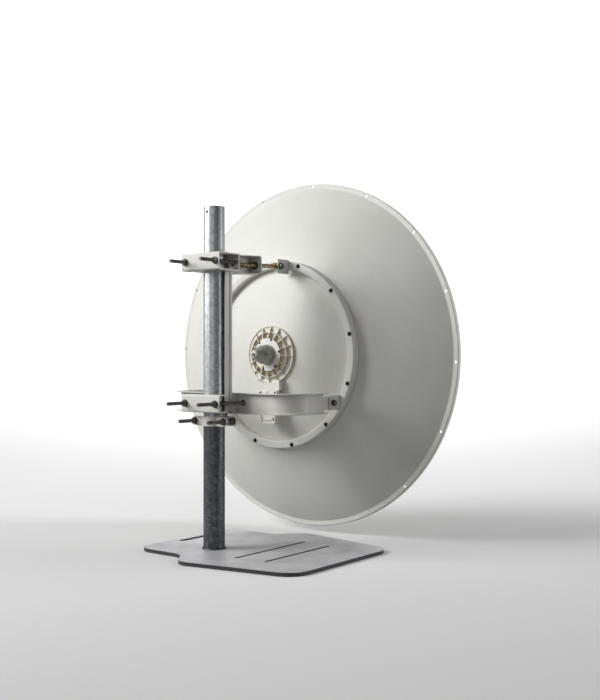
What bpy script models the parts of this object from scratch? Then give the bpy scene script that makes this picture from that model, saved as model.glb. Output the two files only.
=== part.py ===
"""A 1.05 m microwave dish antenna on its pole stand.

Metres, +Z up. The origin is on the floor under the pole's axis. The dish looks along +Y,
so the side with the pole, the clamps and the fork faces -Y, and +X is to the right
when the antenna is seen from behind.
"""

import math

import bmesh
import bpy
from mathutils import Matrix, Vector

# Base plate and pole
PLATE_THICKNESS = 0.010
PLATE_MIDDLE_Y = 0.080
POLE_RADIUS = 0.0295
POLE_WALL = 0.003
POLE_TOP = 0.947
POLE_STEPS = 32
POLE_HOLE_RADIUS = 0.003
POLE_HOLE_BELOW_TOP = 0.011
WELD_SIZE = 0.004
TOUCH = 0.0003

# Reflector: a paraboloid whose back starts at APEX_Y and meets the flange at RIM_Y
REFLECTOR_RADIUS = 0.523
RIM_CLEARANCE = 0.009
DISH_HEIGHT = PLATE_THICKNESS + RIM_CLEARANCE + REFLECTOR_RADIUS
APEX_Y = 0.2465
RIM_Y = 0.4245
BOWL_RADIUS = 0.508
LIP_DEPTH = 0.015
SHEET = 0.0025
REFLECTOR_STEPS = 72
BOWL_ROWS = 10
RIM_HOLES = 16
RIM_HOLE_CIRCLE = 0.5142
RIM_HOLE_RADIUS = 0.0028
REFLECTOR_TURN = math.radians(-2.3)
FOCAL_LENGTH = BOWL_RADIUS**2 / (4 * (RIM_Y - APEX_Y))

# Mounting ring on the reflector's back
RING_FACE_Y = 0.271
RING_INNER = 0.2545
RING_OUTER = 0.277
RING_STEPS = 64

# Pivots: the side ears, the fork's tongues and the adjuster's ear share these
STEEL = 0.003
PIVOT_Y = 0.2375
PIVOT_Z = DISH_HEIGHT - 0.135
EAR_OUTER_X = 0.2315
EAR_BACK = 0.015
EAR_HALF_HEIGHT = 0.0205
EAR_FOOT = 0.018
ADJUSTER_EAR_BACK = 0.011
PIN_RADIUS = 0.005

# Fork, and the box that holds it off the mast channel
FORK_HALF_HEIGHT = 0.029
FORK_WEB_Y = 0.0605
FORK_FLANGE = 0.0145
FORK_BEND = 0.075
FORK_FLANGE_END_Y = 0.199
FORK_ARM_X = 0.227
TONGUE_HALF_HEIGHT = 0.018
SPACER_HALF_WIDTH = 0.036
SPACER_HALF_HEIGHT = 0.0255

# Clamps behind the pole, and the channel in front of it
CLAMP_HALF_LENGTH = 0.0685
CLAMP_HALF_HEIGHT = 0.024
CLAMP_BACK_Y = -0.0565
CLAMP_EDGE_Y = -0.0225
CLAMP_BOLT_X = 0.055
CLAMP_BOLT_RADIUS = 0.005
BOLT_HOLE_RADIUS = 0.0053
UPPER_BOLT_TAIL_Y = -0.116
LOWER_BOLT_TAIL_Y = -0.125
UPPER_CLAMP_Z = DISH_HEIGHT + 0.2515
LOWER_CLAMP_Z = PIVOT_Z + 0.002
CHANNEL_HALF_WIDTH = 0.040
CHANNEL_EDGE_Y = 0.001
CHANNEL_WEB_Y = POLE_RADIUS + TOUCH
CHANNEL_BOTTOM = LOWER_CLAMP_Z - 0.023
FRONT_CLAMP_HALF_LENGTH = 0.0635
FRONT_CLAMP_EDGE_Y = -0.017

# Rest clamp, the collar that the head turns above
REST_HALF_HEIGHT = 0.013
REST_Z = 0.360
REST_HALF_LENGTH = 0.0655
REST_STRAP = 0.0035
REST_GAP = 0.017
REST_BOLT_X = 0.0525
REST_BOLT_TAIL_Y = -0.0825

# Adjuster: a threaded rod from the top ear, through the bracket's end flange
ROD_X = 0.0375
ADJUSTER_Y = 0.2295
ROD_Z = DISH_HEIGHT + 0.2555
ROD_TILT = math.radians(2.5)
ROD_RADIUS = 0.006
ROD_TAIL_Y = 0.0315
JAM_NUT_Y = (0.2085, 0.2145)
EYE_RADIUS = 0.0115
EYE_HALF_WIDTH = 0.0075
BRACKET_X = (0.020, 0.059)
BRACKET_Z = (ROD_Z - 0.026, ROD_Z + 0.027)
BRACKET_FOOT_X = -0.024
BRACKET_FLANGE_Y = (0.131, 0.134)
BRACKET_CORNER = 0.008
NUT_CLEARANCE = 0.0006
ROD_DROP = 0.003

# Hub, feed and radio tray
HUB_RADIUS = 0.084
HUB_STEPS = 36
HUB_RIBS = 16
HUB_FIRST_RIB = math.radians(8.6)
HUB_RIM = 0.0080
HUB_PLATE_RADIUS = 0.048
HUB_PLATE_Y = 0.229
ADAPTER_TIP_Y = 0.168
TRAY_Y = (0.2310, 0.2480)
TRAY_WALL = 0.003
FEED_TUBE_RADIUS = 0.021
SPLASH_RADIUS = 0.055
SPLASH_Y = APEX_Y + SHEET + FOCAL_LENGTH + 0.006

parts = bpy.data.collections.new("microwave_dish_antenna")
cutters = bpy.data.collections.new("cutters")


def clear_scene():
    for obj in list(bpy.data.objects):
        bpy.data.objects.remove(obj)
    for collection in (parts, cutters):
        bpy.context.scene.collection.children.link(collection)


def linear(channel):
    """One sRGB channel from 0 to 1, as Blender's linear colour."""
    return channel / 12.92 if channel <= 0.04045 else ((channel + 0.055) / 1.055) ** 2.4


def paint(name, red, green, blue, metallic, roughness):
    """A Principled material from an sRGB colour of 0 to 255."""
    material = bpy.data.materials.new(name)
    material.use_nodes = True
    shader = material.node_tree.nodes["Principled BSDF"]
    colour = [linear(value / 255) for value in (red, green, blue)]
    shader.inputs["Base Color"].default_value = (*colour, 1)
    shader.inputs["Metallic"].default_value = metallic
    shader.inputs["Roughness"].default_value = roughness
    return material


POWDER_COAT = paint("white_powder_coat", 222, 222, 216, 0.0, 0.42)
BRACKET_COAT = paint("bracket_powder_coat", 214, 214, 208, 0.0, 0.45)
GALVANISED = paint("galvanised_steel", 150, 154, 158, 0.9, 0.38)
DARK_STEEL = paint("dark_zinc_fasteners", 74, 74, 72, 0.8, 0.42)
YELLOW_ZINC = paint("yellow_zinc_rod", 176, 160, 124, 0.85, 0.35)
HUB_PLASTIC = paint("ivory_moulded_plastic", 224, 220, 204, 0.0, 0.5)
CAST_METAL = paint("grey_cast_metal", 150, 153, 147, 0.6, 0.5)
BRASS = paint("brass_connector", 178, 152, 92, 0.9, 0.3)
PLATE_STEEL = paint("grey_steel_plate", 186, 186, 190, 0.4, 0.45)
FEED_PLASTIC = paint("white_feed_plastic", 232, 232, 228, 0.0, 0.4)
ALUMINIUM = paint("drawn_aluminium", 180, 182, 184, 0.9, 0.35)


def finish(obj, material, smooth=False):
    """Puts a piece into the parts collection with its material."""
    parts.objects.link(obj)
    obj.data.materials.clear()
    obj.data.materials.append(material)
    if smooth:
        obj.data.shade_smooth()
        obj.data.set_sharp_from_angle(angle=math.radians(35))
    return obj


def from_bmesh(name, bm):
    mesh = bpy.data.meshes.new(name)
    bmesh.ops.recalc_face_normals(bm, faces=bm.faces)
    bm.to_mesh(mesh)
    bm.free()
    return bpy.data.objects.new(name, mesh)


def block(name, low, high):
    """A box between two corners."""
    bm = bmesh.new()
    size = [high[i] - low[i] for i in range(3)]
    middle = [(high[i] + low[i]) / 2 for i in range(3)]
    bmesh.ops.create_cube(bm, size=1)
    bmesh.ops.scale(bm, vec=size, verts=bm.verts)
    bmesh.ops.translate(bm, vec=middle, verts=bm.verts)
    return from_bmesh(name, bm)


def rod(name, radius, start, end, segments):
    """A plain round bar between two points."""
    start, end = Vector(start), Vector(end)
    along = end - start
    turn = along.to_track_quat("Z", "Y").to_matrix().to_4x4()
    bm = bmesh.new()
    bmesh.ops.create_cone(
        bm,
        cap_ends=True,
        segments=segments,
        radius1=radius,
        radius2=radius,
        depth=along.length,
        matrix=Matrix.Translation((start + end) / 2) @ turn,
    )
    return from_bmesh(name, bm)


def rounded(corners, steps=4):
    """An outline from corners (x, y, radius): each corner becomes an arc of that radius."""
    points = []
    for i, (x, y, radius) in enumerate(corners):
        here = Vector((x, y))
        before = (Vector(corners[i - 1][:2]) - here).normalized()
        after = (Vector(corners[(i + 1) % len(corners)][:2]) - here).normalized()
        if radius == 0:
            points.append(here)
            continue
        half = before.angle(after) / 2
        reach = radius / math.tan(half)
        centre = here + (before + after).normalized() * radius / math.sin(half)
        first = here + before * reach - centre
        last = here + after * reach - centre
        sweep = first.angle_signed(last)
        for step in range(steps + 1):
            points.append(centre + Matrix.Rotation(-sweep * step / steps, 2) @ first)
    return points


def stadium(centre, half_length, radius, steps=8):
    """A slot outline with round ends, long in x."""
    x, y = centre
    corners = [
        (x - half_length, y - radius, radius),
        (x + half_length, y - radius, radius),
        (x + half_length, y + radius, radius),
        (x - half_length, y + radius, radius),
    ]
    return rounded([(a, b, r * 0.999) for a, b, r in corners], steps)


PLAN = Matrix.Identity(4)
SIDE = Matrix(((0, 0, 1, 0), (1, 0, 0, 0), (0, 1, 0, 0), (0, 0, 0, 1)))
BACK = Matrix(((1, 0, 0, 0), (0, 0, -1, 0), (0, 1, 0, 0), (0, 0, 0, 1)))


def sheet(name, outlines, low, high, view=PLAN):
    """A flat piece: outlines in a view's plane, from low to high along the view's normal.

    PLAN outlines are (x, y) and the normal is +Z, SIDE outlines are (y, z) and the normal
    is +X, BACK outlines are (x, z) and the normal is -Y.
    """
    curve = bpy.data.curves.new(name, "CURVE")
    curve.dimensions = "2D"
    curve.fill_mode = "BOTH"
    curve.extrude = (high - low) / 2
    for outline in outlines:
        spline = curve.splines.new("POLY")
        spline.points.add(len(outline) - 1)
        spline.use_cyclic_u = True
        for point, (x, y) in zip(spline.points, outline):
            point.co = (x, y, 0, 1)
    drawn = bpy.data.objects.new(name, curve)
    bpy.context.scene.collection.objects.link(drawn)
    drawn.matrix_world = view @ Matrix.Translation((0, 0, (low + high) / 2))
    bpy.context.view_layer.update()
    graph = bpy.context.evaluated_depsgraph_get()
    mesh = bpy.data.meshes.new_from_object(drawn.evaluated_get(graph))
    placed = drawn.matrix_world.copy()
    bpy.data.objects.remove(drawn)
    bm = bmesh.new()
    bm.from_mesh(mesh)
    bmesh.ops.remove_doubles(bm, verts=bm.verts, dist=1e-6)
    bmesh.ops.transform(bm, matrix=placed, verts=bm.verts)
    return from_bmesh(name, bm)


def turned(name, profile, steps, closed, height=DISH_HEIGHT):
    """A piece turned about the dish's axis, from a profile of (radius, y)."""
    mesh = bpy.data.meshes.new(name)
    count = len(profile)
    edges = [(i, (i + 1) % count) for i in range(count if closed else count - 1)]
    mesh.from_pydata([(radius, 0, y) for radius, y in profile], edges, [])
    obj = bpy.data.objects.new(name, mesh)
    obj.rotation_euler = (-math.pi / 2, 0, 0)
    obj.location = (0, 0, height)
    screw = obj.modifiers.new("turned", "SCREW")
    screw.axis = "Z"
    screw.steps = steps
    screw.render_steps = steps
    screw.use_merge_vertices = True
    screw.merge_threshold = 1e-5
    screw.use_smooth_shade = True
    return obj


def cut(target, cutter, operation="DIFFERENCE"):
    """A Boolean of a piece with a helper, which goes to the cutters collection."""
    if cutter.name not in cutters.objects:
        cutters.objects.link(cutter)
        cutter.hide_render = True
        cutter.display_type = "WIRE"
    modifier = target.modifiers.new(cutter.name, "BOOLEAN")
    modifier.object = cutter
    modifier.operation = operation
    modifier.solver = "EXACT"


def ring_points(radius, sides, count=12):
    """Twelve points of a circle, or of a hexagon with this corner radius."""
    points = []
    for i in range(count):
        angle = 2 * math.pi * i / count
        reach = radius
        if sides == 6 and i % 2 == 0:
            reach = radius * math.cos(math.pi / 6)
        points.append((reach * math.cos(angle), reach * math.sin(angle)))
    return points


def fastener(name, stations, place, bore=0):
    """Round and hexagonal lengths on one axis: stations are (distance, radius, sides).

    With a bore the piece is a sleeve, such as a nut, and without one it is solid.
    """
    bm = bmesh.new()
    rings = [(along, ring_points(radius, sides)) for along, radius, sides in stations]
    if bore:
        rings.append((stations[-1][0], ring_points(bore, 0)))
        rings.append((stations[0][0], ring_points(bore, 0)))
    loops = [[bm.verts.new((x, y, along)) for x, y in points] for along, points in rings]
    pairs = list(zip(loops, loops[1:]))
    if bore:
        pairs.append((loops[-1], loops[0]))
    else:
        bm.faces.new(loops[0][::-1])
        bm.faces.new(loops[-1])
    for lower, upper in pairs:
        for i in range(len(lower)):
            j = (i + 1) % len(lower)
            bm.faces.new((lower[i], lower[j], upper[j], upper[i]))
    bmesh.ops.transform(bm, matrix=place, verts=bm.verts)
    return from_bmesh(name, bm)


def along_y(x, z):
    """Places a fastener's axis along +Y through (x, z)."""
    return Matrix.Translation((x, 0, z)) @ Matrix.Rotation(-math.pi / 2, 4, "X")


def along_x(y, z, side=1):
    """Places a fastener's axis along +X, or -X for side -1, through (y, z)."""
    return Matrix.Translation((0, y, z)) @ Matrix.Rotation(side * math.pi / 2, 4, "Y")


def nut_and_washer(face, out, shaft, size=0.0092, washer=0.0103):
    """Stations of a washer and a nut that stand on a face, outwards along out (+1 or -1)."""
    washer_end = face + out * 0.0016
    nut_end = washer_end + out * 0.0075
    return [
        (face, shaft, 0),
        (face, washer, 0),
        (washer_end, washer, 0),
        (washer_end, size, 6),
        (nut_end, size, 6),
        (nut_end, shaft, 0),
    ]


def bolt_head(face, out, shaft, size=0.0092, height=0.0062):
    """Stations of a hexagonal head that stands on a face and closes the bolt."""
    return [(face, shaft, 0), (face, size, 6), (face + out * height, size, 6)]


def base_plate():
    """Steel plate, wider under the dish than under the pole, with its long slots."""
    left, waist, step, right = -0.183, -0.010, 0.045, 0.385
    narrow, wide, shoulder = 0.197, 0.272, 0.212
    middle = PLATE_MIDDLE_Y
    corners = [
        (left, middle - narrow, 0.050),
        (waist, middle - narrow, 0.060),
        (step, middle - wide, 0.050),
        (right, middle - shoulder, 0.060),
        (right, middle + shoulder, 0.060),
        (step, middle + wide, 0.050),
        (waist, middle + narrow, 0.060),
        (left, middle + narrow, 0.050),
    ]
    outline = rounded(corners, 6)
    slots = [((-0.154, 0.0535), 0.0095), ((0.137, 0.151), 0.005), ((0.230, 0.140), 0.005)]
    holes = []
    for (x, half), radius in slots:
        holes.append([(x - v, middle + u) for u, v in stadium((0, 0), half, radius, 3)])
    finish(sheet("base_plate", [outline, *holes], 0, PLATE_THICKNESS), PLATE_STEEL)


def pole():
    """Galvanised tube that stands on the plate, drilled through near its top."""
    low = PLATE_THICKNESS + TOUCH
    inner = POLE_RADIUS - POLE_WALL
    profile = [(POLE_RADIUS, POLE_TOP), (POLE_RADIUS, low), (inner, low), (inner, POLE_TOP)]
    tube = turned("pole", profile, POLE_STEPS, True, 0)
    tube.rotation_euler = (0, 0, 0)
    finish(tube, GALVANISED)
    hole_z = POLE_TOP - POLE_HOLE_BELOW_TOP
    cut(tube, rod("pole_hole", POLE_HOLE_RADIUS, (0, -0.04, hole_z), (0, 0.04, hole_z), 12))
    root = POLE_RADIUS + TOUCH
    profile = [(root, low + WELD_SIZE), (root + WELD_SIZE, low), (root, low)]
    weld = turned("foot_weld", profile, POLE_STEPS, True, 0)
    weld.rotation_euler = (0, 0, 0)
    finish(weld, GALVANISED)


def strap_outline(side):
    """Plan of one half of the rest clamp: two ears and the half ring between them."""
    inner = POLE_RADIUS + TOUCH
    outer = inner + REST_STRAP
    far = REST_GAP + REST_STRAP
    points = [(-REST_HALF_LENGTH, REST_GAP), (-REST_HALF_LENGTH, far)]
    start = math.pi - math.asin(far / outer)
    for step in range(11):
        angle = start + (math.pi - 2 * start) * step / 10
        points.append((outer * math.cos(angle), outer * math.sin(angle)))
    points += [(REST_HALF_LENGTH, far), (REST_HALF_LENGTH, REST_GAP)]
    start = math.asin(REST_GAP / inner)
    for step in range(11):
        angle = start + (math.pi - 2 * start) * step / 10
        points.append((inner * math.cos(angle), inner * math.sin(angle)))
    return [(x, side * y) for x, y in points]


def rest_clamp():
    """Two straps and two bolts on the pole, just under the head."""
    low, high = REST_Z - REST_HALF_HEIGHT, REST_Z + REST_HALF_HEIGHT
    for name, side in (("rest_clamp_back", -1), ("rest_clamp_front", 1)):
        half = sheet(name, [strap_outline(side)], low, high)
        finish(half, BRACKET_COAT)
        shape = stadium((0, REST_Z), REST_HALF_LENGTH, REST_HALF_HEIGHT + 0.0001, 6)
        cut(half, sheet(name + "_shape", [shape], -0.05, 0.05, BACK), "INTERSECT")
        for hand, x in (("left", -REST_BOLT_X), ("right", REST_BOLT_X)):
            ends = (x, -0.05, REST_Z), (x, 0.05, REST_Z)
            hole = rod(f"{name}_hole_{hand}", BOLT_HOLE_RADIUS, *ends, 12)
            cut(half, hole)
    face = REST_GAP + REST_STRAP + TOUCH
    shaft = CLAMP_BOLT_RADIUS
    for hand, x in (("left", -REST_BOLT_X), ("right", REST_BOLT_X)):
        nut = nut_and_washer(-face, -1, shaft)[::-1]
        inner = nut_and_washer(REST_GAP - TOUCH, -1, shaft)[::-1]
        stations = [(REST_BOLT_TAIL_Y, shaft, 0), *nut, *inner, *bolt_head(face, 1, shaft)]
        bolt = fastener(f"rest_bolt_{hand}", stations, along_y(x, REST_Z))
        finish(bolt, DARK_STEEL, True)


def channel_outline(middle, back, edge):
    """Section of a clamp in (y, z): a web at y = back, and flanges towards the pole."""
    half = CLAMP_HALF_HEIGHT
    inside = half - STEEL
    face = back + math.copysign(STEEL, edge - back)
    corners = [
        (edge, middle - half, 0),
        (edge, middle - inside, 0),
        (face, middle - inside, 0.001),
        (face, middle + inside, 0.001),
        (edge, middle + inside, 0),
        (edge, middle + half, 0),
        (back, middle + half, 0.004),
        (back, middle - half, 0.004),
    ]
    return rounded(corners, 2)


def back_clamps():
    """The upper and lower channels behind the pole, each with two long bolts."""
    for level, z in (("upper", UPPER_CLAMP_Z), ("lower", LOWER_CLAMP_Z)):
        name = f"{level}_clamp"
        section = channel_outline(z, CLAMP_BACK_Y, CLAMP_EDGE_Y)
        clamp = sheet(name, [section], -CLAMP_HALF_LENGTH, CLAMP_HALF_LENGTH, SIDE)
        finish(clamp, BRACKET_COAT)
        saddle = rod(
            name + "_saddle",
            POLE_RADIUS + TOUCH,
            (0, 0, z - 0.04),
            (0, 0, z + 0.04),
            POLE_STEPS,
        )
        cut(clamp, saddle)
        for hand, x in (("left", -CLAMP_BOLT_X), ("right", CLAMP_BOLT_X)):
            hole = rod(f"{name}_hole_{hand}", BOLT_HOLE_RADIUS, (x, -0.06, z), (x, 0, z), 12)
            cut(clamp, hole)


def clamp_bolts():
    """Long bolts: the upper pair ends on the front clamp, the lower on the fork."""
    shaft = CLAMP_BOLT_RADIUS
    behind = nut_and_washer(CLAMP_BACK_Y - TOUCH, -1, shaft)[::-1]
    on_web = nut_and_washer(FORK_WEB_Y - TOUCH, -1, shaft)[::-1]
    upper = bolt_head(CHANNEL_WEB_Y + STEEL + TOUCH, 1, shaft)
    lower = [*on_web, *bolt_head(FORK_WEB_Y + STEEL + TOUCH, 1, shaft)]
    for level, z, tail, front in (
        ("upper", UPPER_CLAMP_Z, UPPER_BOLT_TAIL_Y, upper),
        ("lower", LOWER_CLAMP_Z, LOWER_BOLT_TAIL_Y, lower),
    ):
        for hand, x in (("left", -CLAMP_BOLT_X), ("right", CLAMP_BOLT_X)):
            stations = [(tail, shaft, 0), *behind, *front]
            bolt = fastener(f"{level}_clamp_bolt_{hand}", stations, along_y(x, z))
            finish(bolt, DARK_STEEL, True)


def mast_channel():
    """Upright channel in front of the pole, its flanges on both sides of the pole."""
    half, edge = CHANNEL_HALF_WIDTH, CHANNEL_EDGE_Y
    inner_y, front = CHANNEL_WEB_Y, CHANNEL_WEB_Y + STEEL
    corners = [
        (-half, edge, 0),
        (-half, front, 0.005),
        (half, front, 0.005),
        (half, edge, 0),
        (half - STEEL, edge, 0),
        (half - STEEL, inner_y, 0.002),
        (-half + STEEL, inner_y, 0.002),
        (-half + STEEL, edge, 0),
    ]
    high = UPPER_CLAMP_Z - CLAMP_HALF_HEIGHT - TOUCH
    outline = rounded(corners, 2)
    finish(sheet("mast_channel", [outline], CHANNEL_BOTTOM, high), BRACKET_COAT)


def upper_front_plate():
    """Front half of the upper clamp: a channel on the pole, with a window for the rod."""
    section = channel_outline(UPPER_CLAMP_Z, CHANNEL_WEB_Y + STEEL, FRONT_CLAMP_EDGE_Y)
    half = FRONT_CLAMP_HALF_LENGTH
    plate = sheet("upper_front_plate", [section], -half, half, SIDE)
    finish(plate, BRACKET_COAT)
    low, high = UPPER_CLAMP_Z - 0.04, UPPER_CLAMP_Z + 0.04
    radius = POLE_RADIUS + TOUCH
    cut(plate, rod("front_saddle", radius, (0, 0, low), (0, 0, high), POLE_STEPS))
    cut(plate, block("front_mouth", (-radius, -0.03, low), (radius, 0, high)))
    gap = ROD_RADIUS + 0.003
    middle = ROD_Z - (ADJUSTER_Y - CHANNEL_WEB_Y) * math.sin(ROD_TILT)
    window = block(
        "rod_window",
        (ROD_X - gap, -0.01, middle - ROD_DROP - gap),
        (ROD_X + gap, 0.05, middle + gap),
    )
    cut(plate, window)
    for hand, x in (("left", -CLAMP_BOLT_X), ("right", CLAMP_BOLT_X)):
        start, end = (x, 0.01, UPPER_CLAMP_Z), (x, 0.05, UPPER_CLAMP_Z)
        cut(plate, rod(f"front_hole_{hand}", BOLT_HOLE_RADIUS, start, end, 12))


def fork_spacer():
    """Box between the mast channel and the fork's web."""
    low = (-SPACER_HALF_WIDTH, CHANNEL_WEB_Y + STEEL + TOUCH, PIVOT_Z - SPACER_HALF_HEIGHT)
    high = (SPACER_HALF_WIDTH, FORK_WEB_Y - TOUCH, PIVOT_Z + SPACER_HALF_HEIGHT)
    box = block("fork_spacer", low, high)
    finish(box, BRACKET_COAT)
    wall = STEEL
    inside = block(
        "spacer_inside",
        (low[0] + wall, low[1] + wall, low[2] - 0.01),
        (high[0] - wall, high[1] - wall, high[2] + 0.01),
    )
    cut(box, inside)


def fork_path(offset, steps=6):
    """Half of the fork's plan, this far outside the web: from the middle to the arm."""
    x, y = FORK_ARM_X + offset, FORK_WEB_Y - offset
    radius = FORK_BEND + offset
    points = []
    for step in range(steps + 1):
        angle = math.pi / 2 * step / steps
        points.append((x - radius + radius * math.sin(angle), y + radius - radius * math.cos(angle)))
    return points


def fork_outline(outside, inside, end):
    """Plan of a band of the fork between two offsets, with its arms cut at y = end."""
    outer = [*fork_path(outside), (FORK_ARM_X + outside, end)]
    inner = [*fork_path(inside), (FORK_ARM_X + inside, end)]
    right = outer + inner[::-1]
    left = [(-x, y) for x, y in inner] + [(-x, y) for x, y in outer[::-1]]
    return left + right


def fork():
    """The U bracket: a web with flanges that turn outwards, and a tongue on each arm."""
    low, high = PIVOT_Z - FORK_HALF_HEIGHT, PIVOT_Z + FORK_HALF_HEIGHT
    solid_outline = fork_outline(FORK_FLANGE, -STEEL, FORK_FLANGE_END_Y)
    body = sheet("fork", [solid_outline], low, high)
    finish(body, BRACKET_COAT)
    hollow = fork_outline(FORK_FLANGE + 0.01, 0, FORK_FLANGE_END_Y + 0.01)
    cut(body, sheet("fork_hollow", [hollow], low + STEEL, high - STEEL))
    back, end = FORK_FLANGE_END_Y - 0.006, PIVOT_Y + TONGUE_HALF_HEIGHT
    tongue = rounded(
        [
            (back, PIVOT_Z - TONGUE_HALF_HEIGHT, 0),
            (end, PIVOT_Z - TONGUE_HALF_HEIGHT, TONGUE_HALF_HEIGHT * 0.999),
            (end, PIVOT_Z + TONGUE_HALF_HEIGHT, TONGUE_HALF_HEIGHT * 0.999),
            (back, PIVOT_Z + TONGUE_HALF_HEIGHT, 0),
        ],
        6,
    )
    slack = 0.0001
    for hand, side in (("left", -1), ("right", 1)):
        near, far = sorted((side * (FORK_ARM_X - STEEL + slack), side * (FORK_ARM_X - slack)))
        cut(body, sheet(f"fork_tongue_{hand}", [tongue], near, far, SIDE), "UNION")
    across = FORK_ARM_X + 0.02
    start, end = (-across, PIVOT_Y, PIVOT_Z), (across, PIVOT_Y, PIVOT_Z)
    cut(body, rod("fork_pivot_hole", PIN_RADIUS + TOUCH, start, end, 12))
    for hand, x in (("left", -CLAMP_BOLT_X), ("right", CLAMP_BOLT_X)):
        start, end = (x, 0.03, LOWER_CLAMP_Z), (x, 0.08, LOWER_CLAMP_Z)
        cut(body, rod(f"fork_bolt_hole_{hand}", BOLT_HOLE_RADIUS, start, end, 12))


def tilt(obj):
    """Turns a shape by the rod's tilt, about the pin that the rod's eye hangs on."""
    pin = Vector((ROD_X, ADJUSTER_Y, ROD_Z))
    turn = Matrix.Rotation(ROD_TILT, 4, "X")
    obj.data.transform(Matrix.Translation(pin) @ turn @ Matrix.Translation(-pin))
    return obj


def adjuster_bracket():
    """Channel that stands on the front clamp and carries the rod on its end flange."""
    x0, x1 = BRACKET_X
    z0, z1 = BRACKET_Z
    flange = BRACKET_FLANGE_Y
    back = CHANNEL_WEB_Y + STEEL + TOUCH
    corner = BRACKET_CORNER
    outline = rounded([(x0, z0, 0), (x1, z0, corner), (x1, z1, corner), (x0, z1, 0)], 4)
    bracket = tilt(sheet("adjuster_bracket", [outline], -flange[1], -back + 0.02, BACK))
    finish(bracket, BRACKET_COAT)
    inside = block(
        "bracket_inside",
        (x0 + STEEL, back - 0.03, z0 + STEEL),
        (x1 + 0.01, flange[0], z1 - STEEL),
    )
    cut(bracket, tilt(inside))
    behind = block("bracket_behind", (x0 - 0.01, back - 0.04, z0 - 0.03), (x1 + 0.01, back, z1 + 0.03))
    cut(bracket, behind)
    drop = (ADJUSTER_Y - back) * math.sin(ROD_TILT)
    foot = block(
        "bracket_foot",
        (BRACKET_FOOT_X, back, z0 - drop + 0.001),
        (x0 + STEEL / 2, back + STEEL, z1 - drop - 0.001),
    )
    cut(bracket, foot, "UNION")
    side = ROD_RADIUS + NUT_CLEARANCE
    slot = rounded(
        [
            (ROD_X - side, ROD_Z - ROD_DROP - side, side * 0.99),
            (ROD_X + side, ROD_Z - ROD_DROP - side, side * 0.99),
            (ROD_X + side, ROD_Z + side, side * 0.99),
            (ROD_X - side, ROD_Z + side, side * 0.99),
        ],
        3,
    )
    cut(bracket, tilt(sheet("bracket_slot", [slot], -flange[1] - 0.01, -flange[0] + 0.01, BACK)))


def adjusting_rod():
    """Threaded rod with its jam nut and the eye that hangs on the top ear's pin."""
    shaft, nut = ROD_RADIUS, 0.0105
    neck = 0.008
    stations = [
        (ROD_TAIL_Y, shaft - 0.001, 0),
        (ROD_TAIL_Y + 0.001, shaft, 0),
        (JAM_NUT_Y[0], shaft, 0),
        (JAM_NUT_Y[0], nut, 6),
        (JAM_NUT_Y[1], nut, 6),
        (JAM_NUT_Y[1], neck, 0),
        (ADJUSTER_Y - 0.004, neck, 0),
    ]
    body = tilt(fastener("adjusting_rod", stations, along_y(ROD_X, ROD_Z)))
    finish(body, YELLOW_ZINC, True)
    low, high = ROD_X - EYE_HALF_WIDTH, ROD_X + EYE_HALF_WIDTH
    eye = rod("rod_eye", EYE_RADIUS, (low, ADJUSTER_Y, ROD_Z), (high, ADJUSTER_Y, ROD_Z), 20)
    cut(body, eye, "UNION")
    hole = rod(
        "rod_eye_hole",
        PIN_RADIUS + TOUCH,
        (low - 0.01, ADJUSTER_Y, ROD_Z),
        (high + 0.01, ADJUSTER_Y, ROD_Z),
        12,
    )
    cut(body, hole)


def adjuster_nuts():
    """A nut and washer on each side of the bracket's end flange."""
    washer, size = 0.011, 0.0103
    bore = ROD_RADIUS + TOUCH
    for name, face, out, height in (
        ("adjuster_nut_back", BRACKET_FLANGE_Y[0] - NUT_CLEARANCE, -1, 0.010),
        ("adjuster_nut_front", BRACKET_FLANGE_Y[1] + NUT_CLEARANCE, 1, 0.007),
    ):
        step = face + out * 0.0022
        stations = [
            (face, washer, 0),
            (step, washer, 0),
            (step, size, 6),
            (face + out * height, size, 6),
        ]
        if out < 0:
            stations = stations[::-1]
        nut = tilt(fastener(name, stations, along_y(ROD_X, ROD_Z), bore))
        finish(nut, DARK_STEEL, True)


def bowl_y(radius):
    """Where the reflector's back is at this radius, on the straight rows that model it."""
    step = BOWL_RADIUS / BOWL_ROWS
    row = min(int(radius / step + 1e-9), BOWL_ROWS - 1)
    low, high = row * step, (row + 1) * step
    share = (radius - low) / step
    height = (1 - share) * low**2 + share * high**2
    return APEX_Y + height / (4 * FOCAL_LENGTH)


def reflector():
    """Spun bowl with a flat flange that is drilled all round, and a lip turned forwards."""
    back = [(BOWL_RADIUS * i / BOWL_ROWS, bowl_y(BOWL_RADIUS * i / BOWL_ROWS)) for i in range(BOWL_ROWS + 1)]
    front_y = RIM_Y + LIP_DEPTH
    inner_lip = REFLECTOR_RADIUS - SHEET
    rim = [
        (REFLECTOR_RADIUS, RIM_Y),
        (REFLECTOR_RADIUS, front_y),
        (inner_lip, front_y),
        (inner_lip, RIM_Y + SHEET),
    ]
    front = [(radius, y + SHEET) for radius, y in back[::-1]]
    front[0] = (BOWL_RADIUS - SHEET, RIM_Y + SHEET)
    profile = (back + rim + front)[::-1]
    dish = turned("reflector", profile, REFLECTOR_STEPS, False)
    finish(dish, POWDER_COAT)
    bm = bmesh.new()
    for i in range(RIM_HOLES):
        angle = REFLECTOR_TURN + 2 * math.pi * i / RIM_HOLES
        x = RIM_HOLE_CIRCLE * math.cos(angle)
        z = DISH_HEIGHT + RIM_HOLE_CIRCLE * math.sin(angle)
        bmesh.ops.create_cone(
            bm,
            cap_ends=True,
            segments=8,
            radius1=RIM_HOLE_RADIUS,
            radius2=RIM_HOLE_RADIUS,
            depth=0.01,
            matrix=along_y(x, z) @ Matrix.Translation((0, 0, RIM_Y)),
        )
    cut(dish, from_bmesh("rim_holes", bm))


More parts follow.
